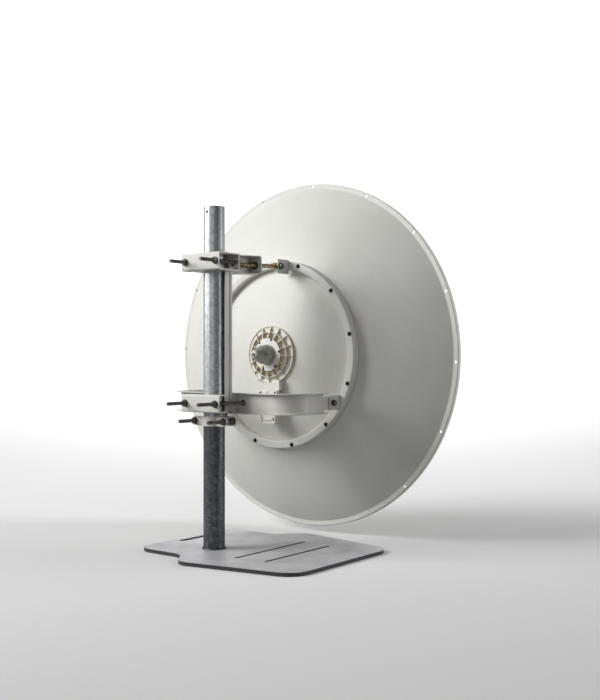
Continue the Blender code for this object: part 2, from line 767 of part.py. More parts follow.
def mounting_ring():
    """Pressed ring: its two walls stand on the reflector, its flat face carries the ears."""
    face, bend = RING_FACE_Y, 0.002
    inner, outer = RING_INNER, RING_OUTER
    foot_in, foot_out = bowl_y(inner) - TOUCH, bowl_y(outer - SHEET) - TOUCH
    profile = [
        (inner, foot_in),
        (inner, face + bend),
        (inner + bend, face),
        (outer - bend, face),
        (outer, face + bend),
        (outer, foot_out),
        (outer - SHEET, foot_out),
        (outer - SHEET, face + SHEET),
        (inner + SHEET, face + SHEET),
        (inner + SHEET, foot_in),
    ]
    finish(turned("mounting_ring", profile[::-1], RING_STEPS, True), POWDER_COAT)


def side_ears():
    """An angle on each side of the ring, with the pivot bolt through it and the fork."""
    face = RING_FACE_Y - TOUCH
    back = PIVOT_Y - EAR_BACK
    half = EAR_HALF_HEIGHT
    pin = PIN_RADIUS
    for hand, side in (("left", -1), ("right", 1)):
        outer = EAR_OUTER_X
        corners = [
            (outer, back, 0),
            (outer, face, 0.002),
            (outer - EAR_FOOT, face, 0),
            (outer - EAR_FOOT, face - STEEL, 0),
            (outer - STEEL, face - STEEL, 0.001),
            (outer - STEEL, back, 0),
        ]
        outline = [(side * x, y) for x, y in rounded(corners, 2)]
        ear = sheet(f"ear_{hand}", [outline], PIVOT_Z - half, PIVOT_Z + half)
        finish(ear, BRACKET_COAT)
        start, end = (side * 0.2, PIVOT_Y, PIVOT_Z), (side * 0.25, PIVOT_Y, PIVOT_Z)
        cut(ear, rod(f"ear_hole_{hand}", pin + TOUCH, start, end, 12))
        inside = FORK_ARM_X - STEEL - TOUCH
        nut = nut_and_washer(inside, -1, pin, 0.0085, 0.0095)[::-1]
        outside = nut_and_washer(outer + TOUCH, 1, pin, 0.0085, 0.0095)[:-1]
        stations = [(inside - 0.011, pin, 0), *nut, *outside]
        bolt = fastener(f"pivot_bolt_{hand}", stations, along_x(PIVOT_Y, PIVOT_Z, side))
        finish(bolt, DARK_STEEL, True)


def adjuster_ear():
    """Angle bracket at the top of the ring, whose cheek takes the rod's eye on a pin."""
    face = RING_FACE_Y - TOUCH
    back = ADJUSTER_Y - ADJUSTER_EAR_BACK
    room = EYE_HALF_WIDTH + 0.0012
    inner, outer = room, room + STEEL
    corners = [
        (ROD_X + outer, back, 0),
        (ROD_X + outer, face, 0.002),
        (ROD_X - outer, face, 0),
        (ROD_X - outer, face - STEEL, 0),
        (ROD_X + inner, face - STEEL, 0.001),
        (ROD_X + inner, back, 0),
    ]
    half = EAR_HALF_HEIGHT
    ear = sheet("adjuster_ear", [rounded(corners, 2)], ROD_Z - half, ROD_Z + half)
    finish(ear, BRACKET_COAT)
    start, end = (ROD_X - 0.03, ADJUSTER_Y, ROD_Z), (ROD_X + 0.03, ADJUSTER_Y, ROD_Z)
    cut(ear, rod("adjuster_ear_hole", PIN_RADIUS + TOUCH, start, end, 12))
    pin = PIN_RADIUS
    low = nut_and_washer(ROD_X - inner - TOUCH, -1, pin, 0.0085, 0.0095)[::-1]
    high = nut_and_washer(ROD_X + outer + TOUCH, 1, pin, 0.0085, 0.0095)[:-1]
    stations = [(ROD_X - inner - 0.011, pin, 0), *low, *high]
    finish(fastener("adjuster_pin", stations, along_x(ADJUSTER_Y, ROD_Z)), DARK_STEEL, True)


def hub():
    """Moulded disc on the reflector's back: a plate, three rings, and ribs that fall outwards."""
    seat = TOUCH
    skin = 0.003
    ring = 0.0022
    plate, plate_y = HUB_PLATE_RADIUS, HUB_PLATE_Y
    middle, edge = 0.065, HUB_RADIUS
    front = [(radius, bowl_y(radius) - seat) for radius in (0, BOWL_RADIUS / BOWL_ROWS, edge)]
    back = [
        (edge, bowl_y(edge) - HUB_RIM),
        (edge - ring, bowl_y(edge) - HUB_RIM),
        (edge - ring, bowl_y(edge - ring) - skin),
        (middle + ring, bowl_y(middle + ring) - skin),
        (middle + ring, 0.2352),
        (middle, 0.2352),
        (middle, bowl_y(middle) - skin),
        (plate, bowl_y(plate) - skin),
        (plate, plate_y),
        (0, plate_y),
    ]
    disc = turned("hub", (front + back)[::-1], HUB_STEPS, False)
    finish(disc, HUB_PLASTIC)
    start, end = plate - 0.002, edge - ring / 2
    tall, short = plate_y + 0.0004, bowl_y(edge) - HUB_RIM + 0.0003
    outline = [(start, bowl_y(start) - 0.002), (end, bowl_y(end) - 0.002), (end, short), (start, tall)]
    bm = bmesh.new()
    for i in range(HUB_RIBS):
        angle = HUB_FIRST_RIB + 2 * math.pi * (i + 0.5) / HUB_RIBS
        turn = Matrix.Rotation(-angle, 4, "Y")
        lift = Matrix.Translation((0, 0, DISH_HEIGHT))
        sides = []
        for z in (-0.0011, 0.0011):
            sides.append([bm.verts.new(lift @ turn @ Vector((x, y, z))) for x, y in outline])
        bm.faces.new(sides[0])
        bm.faces.new(sides[1][::-1])
        for j in range(4):
            k = (j + 1) % 4
            bm.faces.new((sides[0][j], sides[1][j], sides[1][k], sides[0][k]))
    cut(disc, from_bmesh("hub_ribs", bm), "UNION")


def feed_adapter():
    """Cast cover behind the hub, with its two small connectors."""
    seat = HUB_PLATE_Y - TOUCH
    profile = [
        (0, ADAPTER_TIP_Y),
        (0.0060, ADAPTER_TIP_Y + 0.0015),
        (0.0105, ADAPTER_TIP_Y + 0.0065),
        (0.0165, ADAPTER_TIP_Y + 0.018),
        (0.0225, ADAPTER_TIP_Y + 0.032),
        (0.0275, ADAPTER_TIP_Y + 0.046),
        (0.0300, ADAPTER_TIP_Y + 0.055),
        (0.0300, seat),
        (0, seat),
    ]
    finish(turned("feed_adapter", profile[::-1], 24, False), CAST_METAL)
    jack = [
        (0, 0.0045, 6),
        (0.003, 0.0045, 6),
        (0.003, 0.0034, 0),
        (0.010, 0.0034, 0),
    ]
    tip = Matrix.Translation((0, ADAPTER_TIP_Y - TOUCH, DISH_HEIGHT)) @ Matrix.Rotation(math.pi / 2, 4, "X")
    finish(fastener("connector_end", jack, tip), BRASS, True)
    lean = math.radians(66.8)
    out = Vector((math.sin(lean), -math.cos(lean), 0))
    seat_point = Vector((0.0210, 0.1965, DISH_HEIGHT)) + out * 0.0006
    turn = out.to_track_quat("Z", "Y").to_matrix().to_4x4()
    finish(fastener("connector_side", jack, Matrix.Translation(seat_point) @ turn), BRASS, True)


def radio_tray():
    """Tray under the hub that a radio clips to, with a notch and a cut corner."""
    h = DISH_HEIGHT
    wide = [
        (-0.041, h - 0.050, 0),
        (-0.041, h - 0.163, 0.004),
        (-0.024, h - 0.197, 0.004),
        (0.029, h - 0.197, 0.003),
        (0.029, h - 0.131, 0),
        (0.041, h - 0.131, 0),
        (0.041, h - 0.050, 0),
    ]
    rear, front = TRAY_Y
    tray = sheet("radio_tray", [rounded(wide, 2)], -front, -rear, BACK)
    finish(tray, HUB_PLASTIC)
    wall = TRAY_WALL
    pocket = [
        (-0.041 + wall, h - 0.133, 0.002),
        (-0.041 + wall, h - 0.162, 0.002),
        (-0.024 + wall, h - 0.197 + wall, 0.002),
        (0.029 - wall, h - 0.197 + wall, 0.002),
        (0.029 - wall, h - 0.133, 0.002),
    ]
    cut(tray, sheet("tray_pocket", [rounded(pocket, 2)], -front + wall, -rear + 0.01, BACK))
    around = rod("tray_hub_room", HUB_RADIUS + TOUCH, (0, 0.2, h), (0, 0.3, h), 72)
    cut(tray, around)


def feed():
    """Feed on the dish's axis: a tube, a plastic cone and the splash plate at the focus."""
    start = APEX_Y + SHEET + TOUCH
    cone_start = SPLASH_Y - 0.052
    radius = FEED_TUBE_RADIUS
    flange = 0.045
    flange_y = bowl_y(flange) + SHEET + TOUCH
    profile = [
        (0, start),
        (flange, flange_y),
        (flange, flange_y + 0.004),
        (radius, flange_y + 0.004),
        (radius, cone_start - TOUCH),
        (0, cone_start - TOUCH),
    ]
    finish(turned("feed_tube", profile[::-1], 24, False), ALUMINIUM)
    profile = [
        (0, cone_start),
        (radius + 0.003, cone_start),
        (radius + 0.005, cone_start + 0.012),
        (SPLASH_RADIUS - 0.002, SPLASH_Y - TOUCH),
        (0, SPLASH_Y - TOUCH),
    ]
    finish(turned("feed_cone", profile[::-1], 24, False), FEED_PLASTIC)
    profile = [
        (0, SPLASH_Y),
        (SPLASH_RADIUS, SPLASH_Y),
        (SPLASH_RADIUS, SPLASH_Y + 0.005),
        (SPLASH_RADIUS - 0.004, SPLASH_Y + 0.008),
        (0, SPLASH_Y + 0.010),
    ]
    finish(turned("splash_plate", profile[::-1], 24, False), ALUMINIUM)


HEAD = (
    "upper_clamp",
    "lower_clamp",
    "upper_clamp_bolt_left",
    "upper_clamp_bolt_right",
    "lower_clamp_bolt_left",
    "lower_clamp_bolt_right",
    "mast_channel",
    "fork",
    "adjuster_bracket",
    "upper_front_plate",
    "fork_spacer",
)
DISH = (
    "reflector",
    "mounting_ring",
    "ear_left",
    "ear_right",
    "pivot_bolt_left",
    "pivot_bolt_right",
    "adjuster_ear",
    "adjuster_pin",
    "hub",
    "feed_adapter",
    "connector_end",
    "connector_side",
    "radio_tray",
    "feed_tube",
    "feed_cone",
    "splash_plate",
)


def hang(names, empty):
    """Parents pieces to the empty on their joint's axis, and leaves them where they are."""
    bpy.context.view_layer.update()
    for name in names:
        piece = bpy.data.objects[name]
        piece.parent = empty
        piece.matrix_parent_inverse = empty.matrix_world.inverted()


def axis_empty(name, place):
    empty = bpy.data.objects.new(name, None)
    empty.location = place
    parts.objects.link(empty)
    return empty


def joints():
    """Empties on the axes: the pole, the pivot bolts, the top pin and the rod."""
    azimuth = axis_empty("azimuth_axis", (0, 0, LOWER_CLAMP_Z))
    elevation = axis_empty("elevation_axis", (0, PIVOT_Y, PIVOT_Z))
    pin = axis_empty("adjuster_pin_axis", (ROD_X, ADJUSTER_Y, ROD_Z))
    slide = axis_empty("adjuster_nut_axis", (ROD_X, BRACKET_FLANGE_Y[0], ROD_Z))
    hang(("adjuster_nut_back", "adjuster_nut_front"), slide)
    hang(("adjusting_rod", "adjuster_nut_axis"), pin)
    hang((*DISH, "adjuster_pin_axis"), elevation)
    hang((*HEAD, "elevation_axis"), azimuth)


clear_scene()
base_plate()
pole()
rest_clamp()
back_clamps()
clamp_bolts()
mast_channel()
upper_front_plate()
fork_spacer()
fork()
adjuster_bracket()
adjusting_rod()
adjuster_nuts()
reflector()
mounting_ring()
side_ears()
adjuster_ear()
hub()
feed_adapter()
radio_tray()
feed()
joints()
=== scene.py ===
# %% [markdown]
# # A microwave dish antenna on its pole stand
# The antenna is a spun reflector of about one metre. A fork and two clamps hold it to a
# galvanised pole, and a threaded rod sets its elevation. The CAD model gives every piece
# its place, and this lesson dresses it: round and bent pieces are made again as smooth
# surfaces, and each finish gets its own material.

import math

import bmesh
import bpy
import numpy as np
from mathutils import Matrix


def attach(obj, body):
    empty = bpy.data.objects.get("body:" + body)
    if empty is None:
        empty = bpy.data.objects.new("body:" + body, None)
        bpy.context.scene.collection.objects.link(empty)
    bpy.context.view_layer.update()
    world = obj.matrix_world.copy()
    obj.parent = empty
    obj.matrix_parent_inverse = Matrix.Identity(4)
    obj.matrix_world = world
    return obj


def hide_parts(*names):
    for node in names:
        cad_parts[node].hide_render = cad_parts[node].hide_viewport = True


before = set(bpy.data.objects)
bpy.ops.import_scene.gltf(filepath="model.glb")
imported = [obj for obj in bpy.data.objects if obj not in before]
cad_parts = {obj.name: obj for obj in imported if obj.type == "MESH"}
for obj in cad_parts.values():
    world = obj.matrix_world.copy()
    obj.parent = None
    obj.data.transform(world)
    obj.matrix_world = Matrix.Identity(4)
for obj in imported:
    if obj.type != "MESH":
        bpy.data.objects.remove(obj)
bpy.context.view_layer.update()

# %% [markdown]
# All sizes are in metres, in the frame of the CAD model: the floor is at z = 0, the pole
# stands on the origin, and the dish looks along +Y. The numbers below are the ones that
# several pieces share. FINE is the distance at which the points of small pieces are merged,
# CUT_EDGE the rounding of a sheet's cut edge, and TOUCH the gap that stands for contact.

# %% Shared sizes
AXIS_Z = 0.542
PIVOT_Y, PIVOT_Z = 0.2375, 0.407
APEX_Y, RIM_Y, BOWL_RADIUS = 0.2465, 0.4245, 0.508
REFLECTOR_RADIUS, SHEET, LIP_DEPTH = 0.523, 0.0025, 0.015
TURN = math.radians(-2.3)
POLE_RADIUS, POLE_LOW, POLE_TOP = 0.0295, 0.0103, 0.947
STEEL = 0.003
CLAMP_Z = {"upper": 0.7935, "lower": 0.409}
CLAMP_HALF = 0.024
CHANNEL_FACE = 0.0328
ROD_X, ROD_Y, ROD_Z = 0.0375, 0.2295, 0.7975
ROD_TILT = math.radians(2.5)
BOWL_CURVE = (RIM_Y - APEX_Y) / BOWL_RADIUS**2
SHARP = math.radians(35)
FINE = 1e-7
CUT_EDGE = 0.0004
TOUCH = 0.0003
print("focal length of the bowl:", round(1 / (4 * BOWL_CURVE), 3), "m")

# %% [markdown]
# A surface here is a grid of points, worked out as one array, whose cells become faces.
# Several such patches are joined into one object. Their shared edges are merged and the
# faces are turned outwards, so the result is one skin.

# %% Grids, patches and pieces
def grid(points, closed_rows=False, closed_columns=False):
    """A patch (points, faces): the points of a grid (rows, columns, 3), and one face per cell."""
    rows, columns = points.shape[:2]
    index = np.arange(rows * columns).reshape(rows, columns)
    if closed_rows:
        index = np.vstack([index, index[:1]])
    if closed_columns:
        index = np.hstack([index, index[:, :1]])
    cells = np.stack([index[:-1, :-1], index[1:, :-1], index[1:, 1:], index[:-1, 1:]], axis=-1)
    return points.reshape(-1, 3), cells.reshape(-1, 4).tolist()


def joined(*patches):
    """Several patches as one: the points in a row, and each patch's faces counted on."""
    points, faces, start = [], [], 0
    for patch_points, patch_faces in patches:
        points.append(patch_points)
        faces += [[start + i for i in face] for face in patch_faces]
        start += len(patch_points)
    return np.vstack(points), faces


def placed(patch, matrix):
    """The patch moved by a matrix of three rows and four columns."""
    points, faces = patch
    return points @ matrix[:, :3].T + matrix[:, 3], faces


def points_of(x, y, z):
    """Points from the arrays of their x, y and z, which are stretched to one shape."""
    return np.stack(np.broadcast_arrays(x, y, z), axis=-1)


def mesh_of(name, patch, merge):
    """A mesh of the patch, with shared edges merged and the faces turned outwards."""
    points, faces = patch
    mesh = bpy.data.meshes.new(name)
    mesh.from_pydata(points.tolist(), [], faces)
    skin = bmesh.new()
    skin.from_mesh(mesh)
    bmesh.ops.remove_doubles(skin, verts=skin.verts, dist=merge)
    bmesh.ops.recalc_face_normals(skin, faces=skin.faces)
    skin.to_mesh(mesh)
    skin.free()
    return mesh


def added(name, data):
    """An object that shows the data, linked to the scene."""
    obj = bpy.data.objects.new(name, data)
    bpy.context.scene.collection.objects.link(obj)
    return obj


def shade(mesh):
    """Smooth shading, but for edges sharper than SHARP."""
    mesh.shade_smooth()
    mesh.set_sharp_from_angle(angle=SHARP)


def piece(name, patch, body, slot, material, replaces=(), merge=2e-6):
    """One object from a patch, on its body, in place of the CAD nodes that it replaces."""
    mesh = mesh_of(name, patch, merge)
    shade(mesh)
    mesh.materials.append(material)
    obj = added(name, mesh)
    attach(obj, body)
    if replaces:
        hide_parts(*replaces)
    print(name, "faces:", len(mesh.polygons))
    return obj


# %% [markdown]
# Most outlines are straight lines with round corners, because sheet metal is bent over a
# radius. A corner is given as (x, y, radius), and its arc touches both sides.

# %% Outlines with round corners
def rounded(corners, closed=True, steps=8):
    """Points of an outline: each corner is an arc whose centre lies on the corner's bisector."""
    corners = np.array(corners, float)
    parts = []
    for i, (x, y, radius) in enumerate(corners):
        here = np.array([x, y])
        end = not closed and i in (0, len(corners) - 1)
        if radius == 0 or end:
            parts.append(here[None])
            continue
        before = corners[i - 1, :2] - here
        after = corners[(i + 1) % len(corners), :2] - here
        before, after = before / np.linalg.norm(before), after / np.linalg.norm(after)
        half = np.arccos(np.clip(before @ after, -1, 1)) / 2
        bisector = (before + after) / np.linalg.norm(before + after)
        centre = here + bisector * radius / np.sin(half)
        first = here + before * radius / np.tan(half) - centre
        last = here + after * radius / np.tan(half) - centre
        start = np.arctan2(first[1], first[0])
        sweep = (np.arctan2(last[1], last[0]) - start + np.pi) % (2 * np.pi) - np.pi
        angle = start + sweep * np.linspace(0, 1, steps + 1)
        parts.append(centre + radius * np.stack([np.cos(angle), np.sin(angle)], axis=1))
    return np.vstack(parts)


def oblong(x, y, radii=(0, 0, 0, 0), steps=8):
    """A rectangle with round corners: its radii go from the low left corner to the right."""
    corners = zip((x[0], x[1], x[1], x[0]), (y[0], y[0], y[1], y[1]), radii)
    return rounded(list(corners), steps=steps)


def thickened(line, thickness):
    """A closed outline round an open line: the line itself, and back beside it at the thickness."""
    along = np.gradient(line, axis=0)
    normal = np.stack([-along[:, 1], along[:, 0]], axis=1)
    normal /= np.linalg.norm(normal, axis=1, keepdims=True)
    return np.vstack([line, (line + normal * thickness)[::-1]])


def looped(outline):
    """The outline with its first point again at the end."""
    outline = np.array(outline, float)
    return np.vstack([outline, outline[:1]])


def circle(steps):
    """The angles of equal steps round a circle."""
    return 2 * np.pi * np.arange(steps) / steps


def turned(profile, steps=128, angles=None, height=AXIS_Z):
    """Turns a profile of (radius, y) about the dish's axis: x = r cos a, z = height + r sin a."""
    profile = np.array(profile, float)
    angle = (circle(steps) if angles is None else angles)[:, None]
    radius, along = profile[:, 0], profile[:, 1]
    points = points_of(np.cos(angle) * radius, along, height + np.sin(angle) * radius)
    return grid(points, closed_rows=True)


def upright(profile, steps=128):
    """Turns a profile of (radius, z) about the pole's axis: x = r cos a, y = r sin a."""
    points, faces = turned(profile, steps, height=0.0)
    return points[:, [0, 2, 1]], faces


print("points on a test corner:", len(rounded([(0, 0, 1), (9, 0, 1), (9, 9, 1)])))

# %% [markdown]
# A folded bracket is a section carried along a line. The section is drawn across the
# line's direction, and both ends are closed by one flat face each.

# %% Sections carried along a line
def extruded(outline, low, high, plane="xy"):
    """A closed outline carried straight from low to high across its plane, ends closed.

    Plane "xy" goes up in z, "yz" goes right in x, and "xz" goes forward in y.
    """
    count = len(outline)
    levels = np.array([[low], [high]], float)
    a, b, c = np.broadcast_arrays(outline[:, 0], outline[:, 1], levels)
    order = {"xy": (a, b, c), "yz": (c, a, b), "xz": (a, c, b)}[plane]
    points, faces = grid(np.stack(order, axis=-1), closed_columns=True)
    return points, faces + [list(range(count)), list(range(count, 2 * count))]


def carried(section, path):
    """A closed section (out, z) carried along a plan path: point = path + out times its normal."""
    along = np.gradient(path, axis=0)
    normal = np.stack([along[:, 1], -along[:, 0]], axis=1)
    normal /= np.linalg.norm(normal, axis=1, keepdims=True)
    out, z = section[:, 0], section[:, 1]
    plan = path[:, None, :] + normal[:, None, :] * out[None, :, None]
    points, faces = grid(points_of(plan[..., 0], plan[..., 1], z), closed_columns=True)
    count, last = len(section), len(points) - len(section)
    return points, faces + [list(range(count)), list(range(last, last + count))]


def carve(obj, *cutters):
    """Takes each cutter's shape out of the piece for good, and removes the cutter."""
    for patch in cutters:
        cutter = added("cutter", mesh_of("cutter", patch, 1e-6))
        modifier = obj.modifiers.new("carve", "BOOLEAN")
        modifier.object = cutter
        modifier.solver = "EXACT"
        bpy.context.view_layer.update()
        graph = bpy.context.evaluated_depsgraph_get()
        carved = bpy.data.meshes.new_from_object(obj.evaluated_get(graph))
        obj.modifiers.clear()
        old, tool = obj.data, cutter.data
        obj.data = carved
        carved.name = old.name
        bpy.data.meshes.remove(old)
        bpy.data.objects.remove(cutter)
        bpy.data.meshes.remove(tool)
    shade(obj.data)


def bar(start, end, radius, steps=32):
    """A closed round bar between two points that differ along one axis only."""
    start, end = np.array(start, float), np.array(end, float)
    axis = int(np.argmax(np.abs(end - start)))
    others = [i for i in range(3) if i != axis]
    angle = circle(steps)
    ring = np.stack([np.cos(angle), np.sin(angle)], axis=1) * radius
    points = np.empty((2, steps, 3))
    points[:, :, others] = ring + start[others]
    points[:, :, axis] = np.array([start[axis], end[axis]])[:, None]
    flat, faces = grid(points, closed_columns=True)
    return flat, faces + [list(range(steps)), list(range(steps, 2 * steps))]


print("faces of a test bar:", len(bar((0, 0, 0), (0, 1, 0), 0.1)[1]))

# %% [markdown]
# Every finish is a small tree of nodes. One function adds a node, sets its options, and
# fills its inputs with numbers or with links from nodes that are already there. Colours
# are written as on a paint chart, and turned to the linear values that Blender reckons in.

# %% Colours and nodes
def linear(colour):
    """An sRGB colour such as "C8C8C4" as linear red, green, blue and alpha."""
    srgb = np.array([int(colour[i : i + 2], 16) for i in (0, 2, 4)]) / 255
    value = np.where(srgb <= 0.04045, srgb / 12.92, ((srgb + 0.055) / 1.055) ** 2.4)
    return (*value.tolist(), 1.0)


def node(tree, kind, links=None, **settings):
    """Adds the node "ShaderNode" + kind, its options given as settings.

    links maps an input to a value, or to an output of a node that is already there.
    """
    made = tree.nodes.new("ShaderNode" + kind)
    for name, value in settings.items():
        setattr(made, name, value)
    for name, value in (links or {}).items():
        if isinstance(value, bpy.types.NodeSocket):
            tree.links.new(value, made.inputs[name])
        else:
            made.inputs[name].default_value = value
    return made


def finish_named(name):
    """An empty material with its shader, and the coordinates of the piece in metres."""
    material = bpy.data.materials.new(name)
    material.use_nodes = True
    tree = material.node_tree
    shader = tree.nodes["Principled BSDF"]
    place = node(tree, "TexCoord").outputs["Object"]
    return material, tree, shader, place


def ramp(tree, value, stops):
    """A ColorRamp node's colour output, from stops of (position, sRGB colour)."""
    made = node(tree, "ValToRGB", {"Fac": value})
    stripes = made.color_ramp.elements
    while len(stripes) < len(stops):
        stripes.new(1.0)
    for stripe, (position, colour) in zip(stripes, stops):
        stripe.position = position
        stripe.color = linear(colour)
    return made.outputs["Color"]


def mixed(tree, share, low, high):
    """The colour output of a mix: low where the share is 0, high where it is 1."""
    return node(tree, "Mix", {"Factor": share, 6: low, 7: high}, data_type="RGBA").outputs[2]


def finished(tree, shader, colour, gloss, relief, metallic=0.0, span=(0.3, 0.7)):
    """Ends a recipe with its colour, its roughness and its bump.

    gloss is (pattern, roughness at the span's low end, at its high end), and relief is
    (pattern, strength, height in metres).
    """
    tree.links.new(colour, shader.inputs["Base Color"])
    ends = {"From Min": span[0], "From Max": span[1], "To Min": gloss[1], "To Max": gloss[2]}
    rough = node(tree, "MapRange", {"Value": gloss[0], **ends})
    tree.links.new(rough.outputs["Result"], shader.inputs["Roughness"])
    pattern, strength, height = relief
    bump = node(tree, "Bump", {"Height": pattern, "Strength": strength, "Distance": height})
    tree.links.new(bump.outputs["Normal"], shader.inputs["Normal"])
    shader.inputs["Metallic"].default_value = metallic


print("mid grey in linear light:", round(linear("808080")[0], 3))

# %% [markdown]
# The reflector is aluminium sheet, spun into a bowl and powder-coated. Baked powder is
# satin, with a faint waviness like orange peel. That waviness is about 1 mm from crest to
# crest and too fine to show here, so it is drawn at 5 mm. Broad, very weak clouds keep the
# large white surface from looking like plastic, and a little dust is warmer than the coat.

# %% Powder coat
def powder_coat(name, light, dusty, rough, wave_mm):
    material, tree, shader, place = finish_named(name)
    clouds = node(
        tree, "TexNoise", {"Vector": place, "Scale": 6.0, "Detail": 5.0, "Roughness": 0.6}
    ).outputs["Fac"]
    specks = node(
        tree, "TexNoise", {"Vector": place, "Scale": 1000 / 3.0, "Detail": 3.0, "Roughness": 0.7}
    ).outputs["Fac"]
    both = node(tree, "Math", {0: clouds, 1: specks}, operation="ADD")
    half = node(tree, "Math", {0: both.outputs[0], 1: 0.5}, operation="MULTIPLY")
    colour = ramp(tree, half.outputs[0], [(0.36, dusty), (0.62, light)])
    peel = node(tree, "TexNoise", {"Vector": place, "Scale": 1000 / wave_mm, "Detail": 2.0})
    gloss = (clouds, rough - 0.05, rough + 0.06)
    finished(tree, shader, colour, gloss, (peel.outputs["Fac"], 0.10, 0.0004))
    shader.inputs["IOR"].default_value = 1.5
    return material


reflector_coat = powder_coat("satin_powder_coat_on_aluminium", "E4E4DF", "DAD9D2", 0.50, 5.0)
bracket_coat = powder_coat("satin_powder_coat_on_steel", "E0DFDA", "D0CFC8", 0.46, 3.0)
print("powder coats:", reflector_coat.name, bracket_coat.name)

# %% [markdown]
# The pole is hot-dip galvanised. Molten zinc freezes into flat crystals about 8 mm wide,
# each a slightly different grey, and runs down in long streaks as the tube is drawn out
# of the bath. The crystals are a Voronoi pattern, the streaks are a noise stretched along
# z. Below the clamps the zinc is painted darker, a painted reflection of dark surroundings.

# %% Galvanised steel
def galvanised(name, dark_reflection_below):
    material, tree, shader, place = finish_named(name)
    crystals = node(tree, "TexVoronoi", {"Vector": place, "Scale": 1000 / 8.0, "Randomness": 1.0})
    grey = node(tree, "SeparateColor", {"Color": crystals.outputs["Color"]})
    stretch = node(tree, "Mapping", {"Vector": place, "Scale": (220.0, 220.0, 9.0)}).outputs[0]
    streaks = node(
        tree, "TexNoise", {"Vector": stretch, "Scale": 1.0, "Detail": 4.0, "Roughness": 0.6}
    ).outputs["Fac"]
    weak = node(tree, "Math", {0: grey.outputs[0], 1: 0.28}, operation="MULTIPLY")
    value = node(
        tree, "Math", {0: streaks, 1: 0.75, 2: weak.outputs[0]}, operation="MULTIPLY_ADD"
    ).outputs[0]
    bright = ramp(tree, value, [(0.25, "94979B"), (0.50, "B3B6B9"), (0.75, "D0D2D4")])
    # Below the clamps the zinc is painted darker, a painted reflection of dark surroundings.
    dull = ramp(tree, value, [(0.25, "3E4144"), (0.50, "54575A"), (0.75, "6C6F71")])
    height = node(tree, "SeparateXYZ", {"Vector": place}).outputs["Z"]
    ends = {"From Min": dark_reflection_below - 0.03, "From Max": dark_reflection_below + 0.03}
    share = node(tree, "MapRange", {"Value": height, **ends}).outputs["Result"]
    colour = mixed(tree, share, dull, bright)
    finished(
        tree, shader, colour, (value, 0.48, 0.34), (streaks, 0.15, 0.0004), 0.9, span=(0.2, 0.8)
    )
    return material


pole_zinc = galvanised("hot_dip_galvanised_steel", 0.37)
print("pole:", pole_zinc.name)

# %% [markdown]
# Threaded rods, nuts and screws are zinc-plated steel. Most here are dull and dark, as old
# plating is. The adjusting rod has a yellow chromate finish, which is never even: it goes
# from straw to grey. The small screws of the ring, the hub and the tray are blackened.
# Turned brass and drawn aluminium follow the same recipe, the aluminium with its pattern
# stretched along y.

# %% Plated, turned and drawn metal
def plated(name, dark, light, rough, grain_mm, stretch=(1, 1, 1), metallic=1.0):
    material, tree, shader, place = finish_named(name)
    scaled = node(tree, "Mapping", {"Vector": place, "Scale": stretch}).outputs[0]
    grain = {"Vector": scaled, "Scale": 1000 / grain_mm, "Detail": 5.0, "Roughness": 0.65}
    patches = node(tree, "TexNoise", grain).outputs["Fac"]
    colour = ramp(tree, patches, [(0.35, dark), (0.65, light)])
    gloss = (patches, rough + 0.1, rough - 0.05)
    finished(tree, shader, colour, gloss, (patches, 0.12, 0.0003), metallic)
    return material


dark_zinc = plated("dull_zinc_plated_steel", "4A4946", "7A7873", 0.38, 6.0)
yellow_zinc = plated("yellow_chromated_steel", "5E4F38", "CDBB94", 0.26, 7.0)
black_zinc = plated("black_passivated_steel", "201F1D", "45433F", 0.42, 5.0)
brass = plated("turned_brass", "6E5C3A", "BFA876", 0.36, 4.0)
aluminium = plated("drawn_aluminium", "A8AAAC", "C8CACB", 0.32, 5.0, (1, 0.05, 1))
metals = [dark_zinc, yellow_zinc, black_zinc, brass, aluminium]
print("metals:", *[metal.name for metal in metals])

# %% [markdown]
# The hub and the tray are moulded ABS, ivory rather than white, with the fine even grain
# of a spark-eroded mould. Thin walls between ribs are painted tan, as painted shade and
# painted light bounced off their neighbours. An attribute named wall is 1 on those walls
# and 0 on the faces, and mixes the two colours. The adapter is a small casting, grey and
# granular.

# %% Moulded plastic and cast metal
def moulded(name, face, wall, rough):
    material, tree, shader, place = finish_named(name)
    painted_shade_mask = node(tree, "Attribute", attribute_name="wall").outputs["Fac"]
    clouds = node(tree, "TexNoise", {"Vector": place, "Scale": 40.0, "Detail": 4.0}).outputs["Fac"]
    # The walls get the tan wall colour: painted shade and bounce light between the ribs.
    colour = mixed(tree, painted_shade_mask, ramp(tree, clouds, [(0.3, face[0]), (0.7, face[1])]), linear(wall))
    grain = node(tree, "TexNoise", {"Vector": place, "Scale": 1000 / 1.5, "Detail": 2.0})
    gloss = (clouds, rough - 0.04, rough + 0.05)
    finished(tree, shader, colour, gloss, (grain.outputs["Fac"], 0.15, 0.0002))
    return material


def cast(name, dark, light, rough, grain_mm):
    material, tree, shader, place = finish_named(name)
    grain = {"Vector": place, "Scale": 1000 / grain_mm, "Detail": 6.0, "Roughness": 0.75}
    coarse = node(tree, "TexNoise", grain).outputs["Fac"]
    pits = node(tree, "TexVoronoi", {"Vector": place, "Scale": 1000 / (grain_mm * 0.7)})
    depth = {0: pits.outputs["Distance"], 1: 0.5, 2: coarse}
    rise = node(tree, "Math", depth, operation="MULTIPLY_ADD").outputs[0]
    colour = ramp(tree, coarse, [(0.35, dark), (0.62, light)])
    gloss = (coarse, rough + 0.1, rough - 0.08)
    finished(tree, shader, colour, gloss, (rise, 0.45, 0.0006), 0.55)
    return material


# CBC2A6 is the painted shade and bounce light on the hub's rib walls.
abs_plastic = moulded("moulded_abs", ("DFDDD4", "EBEAE3"), "CBC2A6", 0.46)
feed_plastic = moulded("moulded_feed_plastic", ("E2E2DE", "EDEDEA"), "E2E2DE", 0.40)
cast_zinc = cast("cast_zinc", "747870", "C4C8C0", 0.58, 4.0)
print("moulded and cast:", abs_plastic.name, feed_plastic.name, cast_zinc.name)
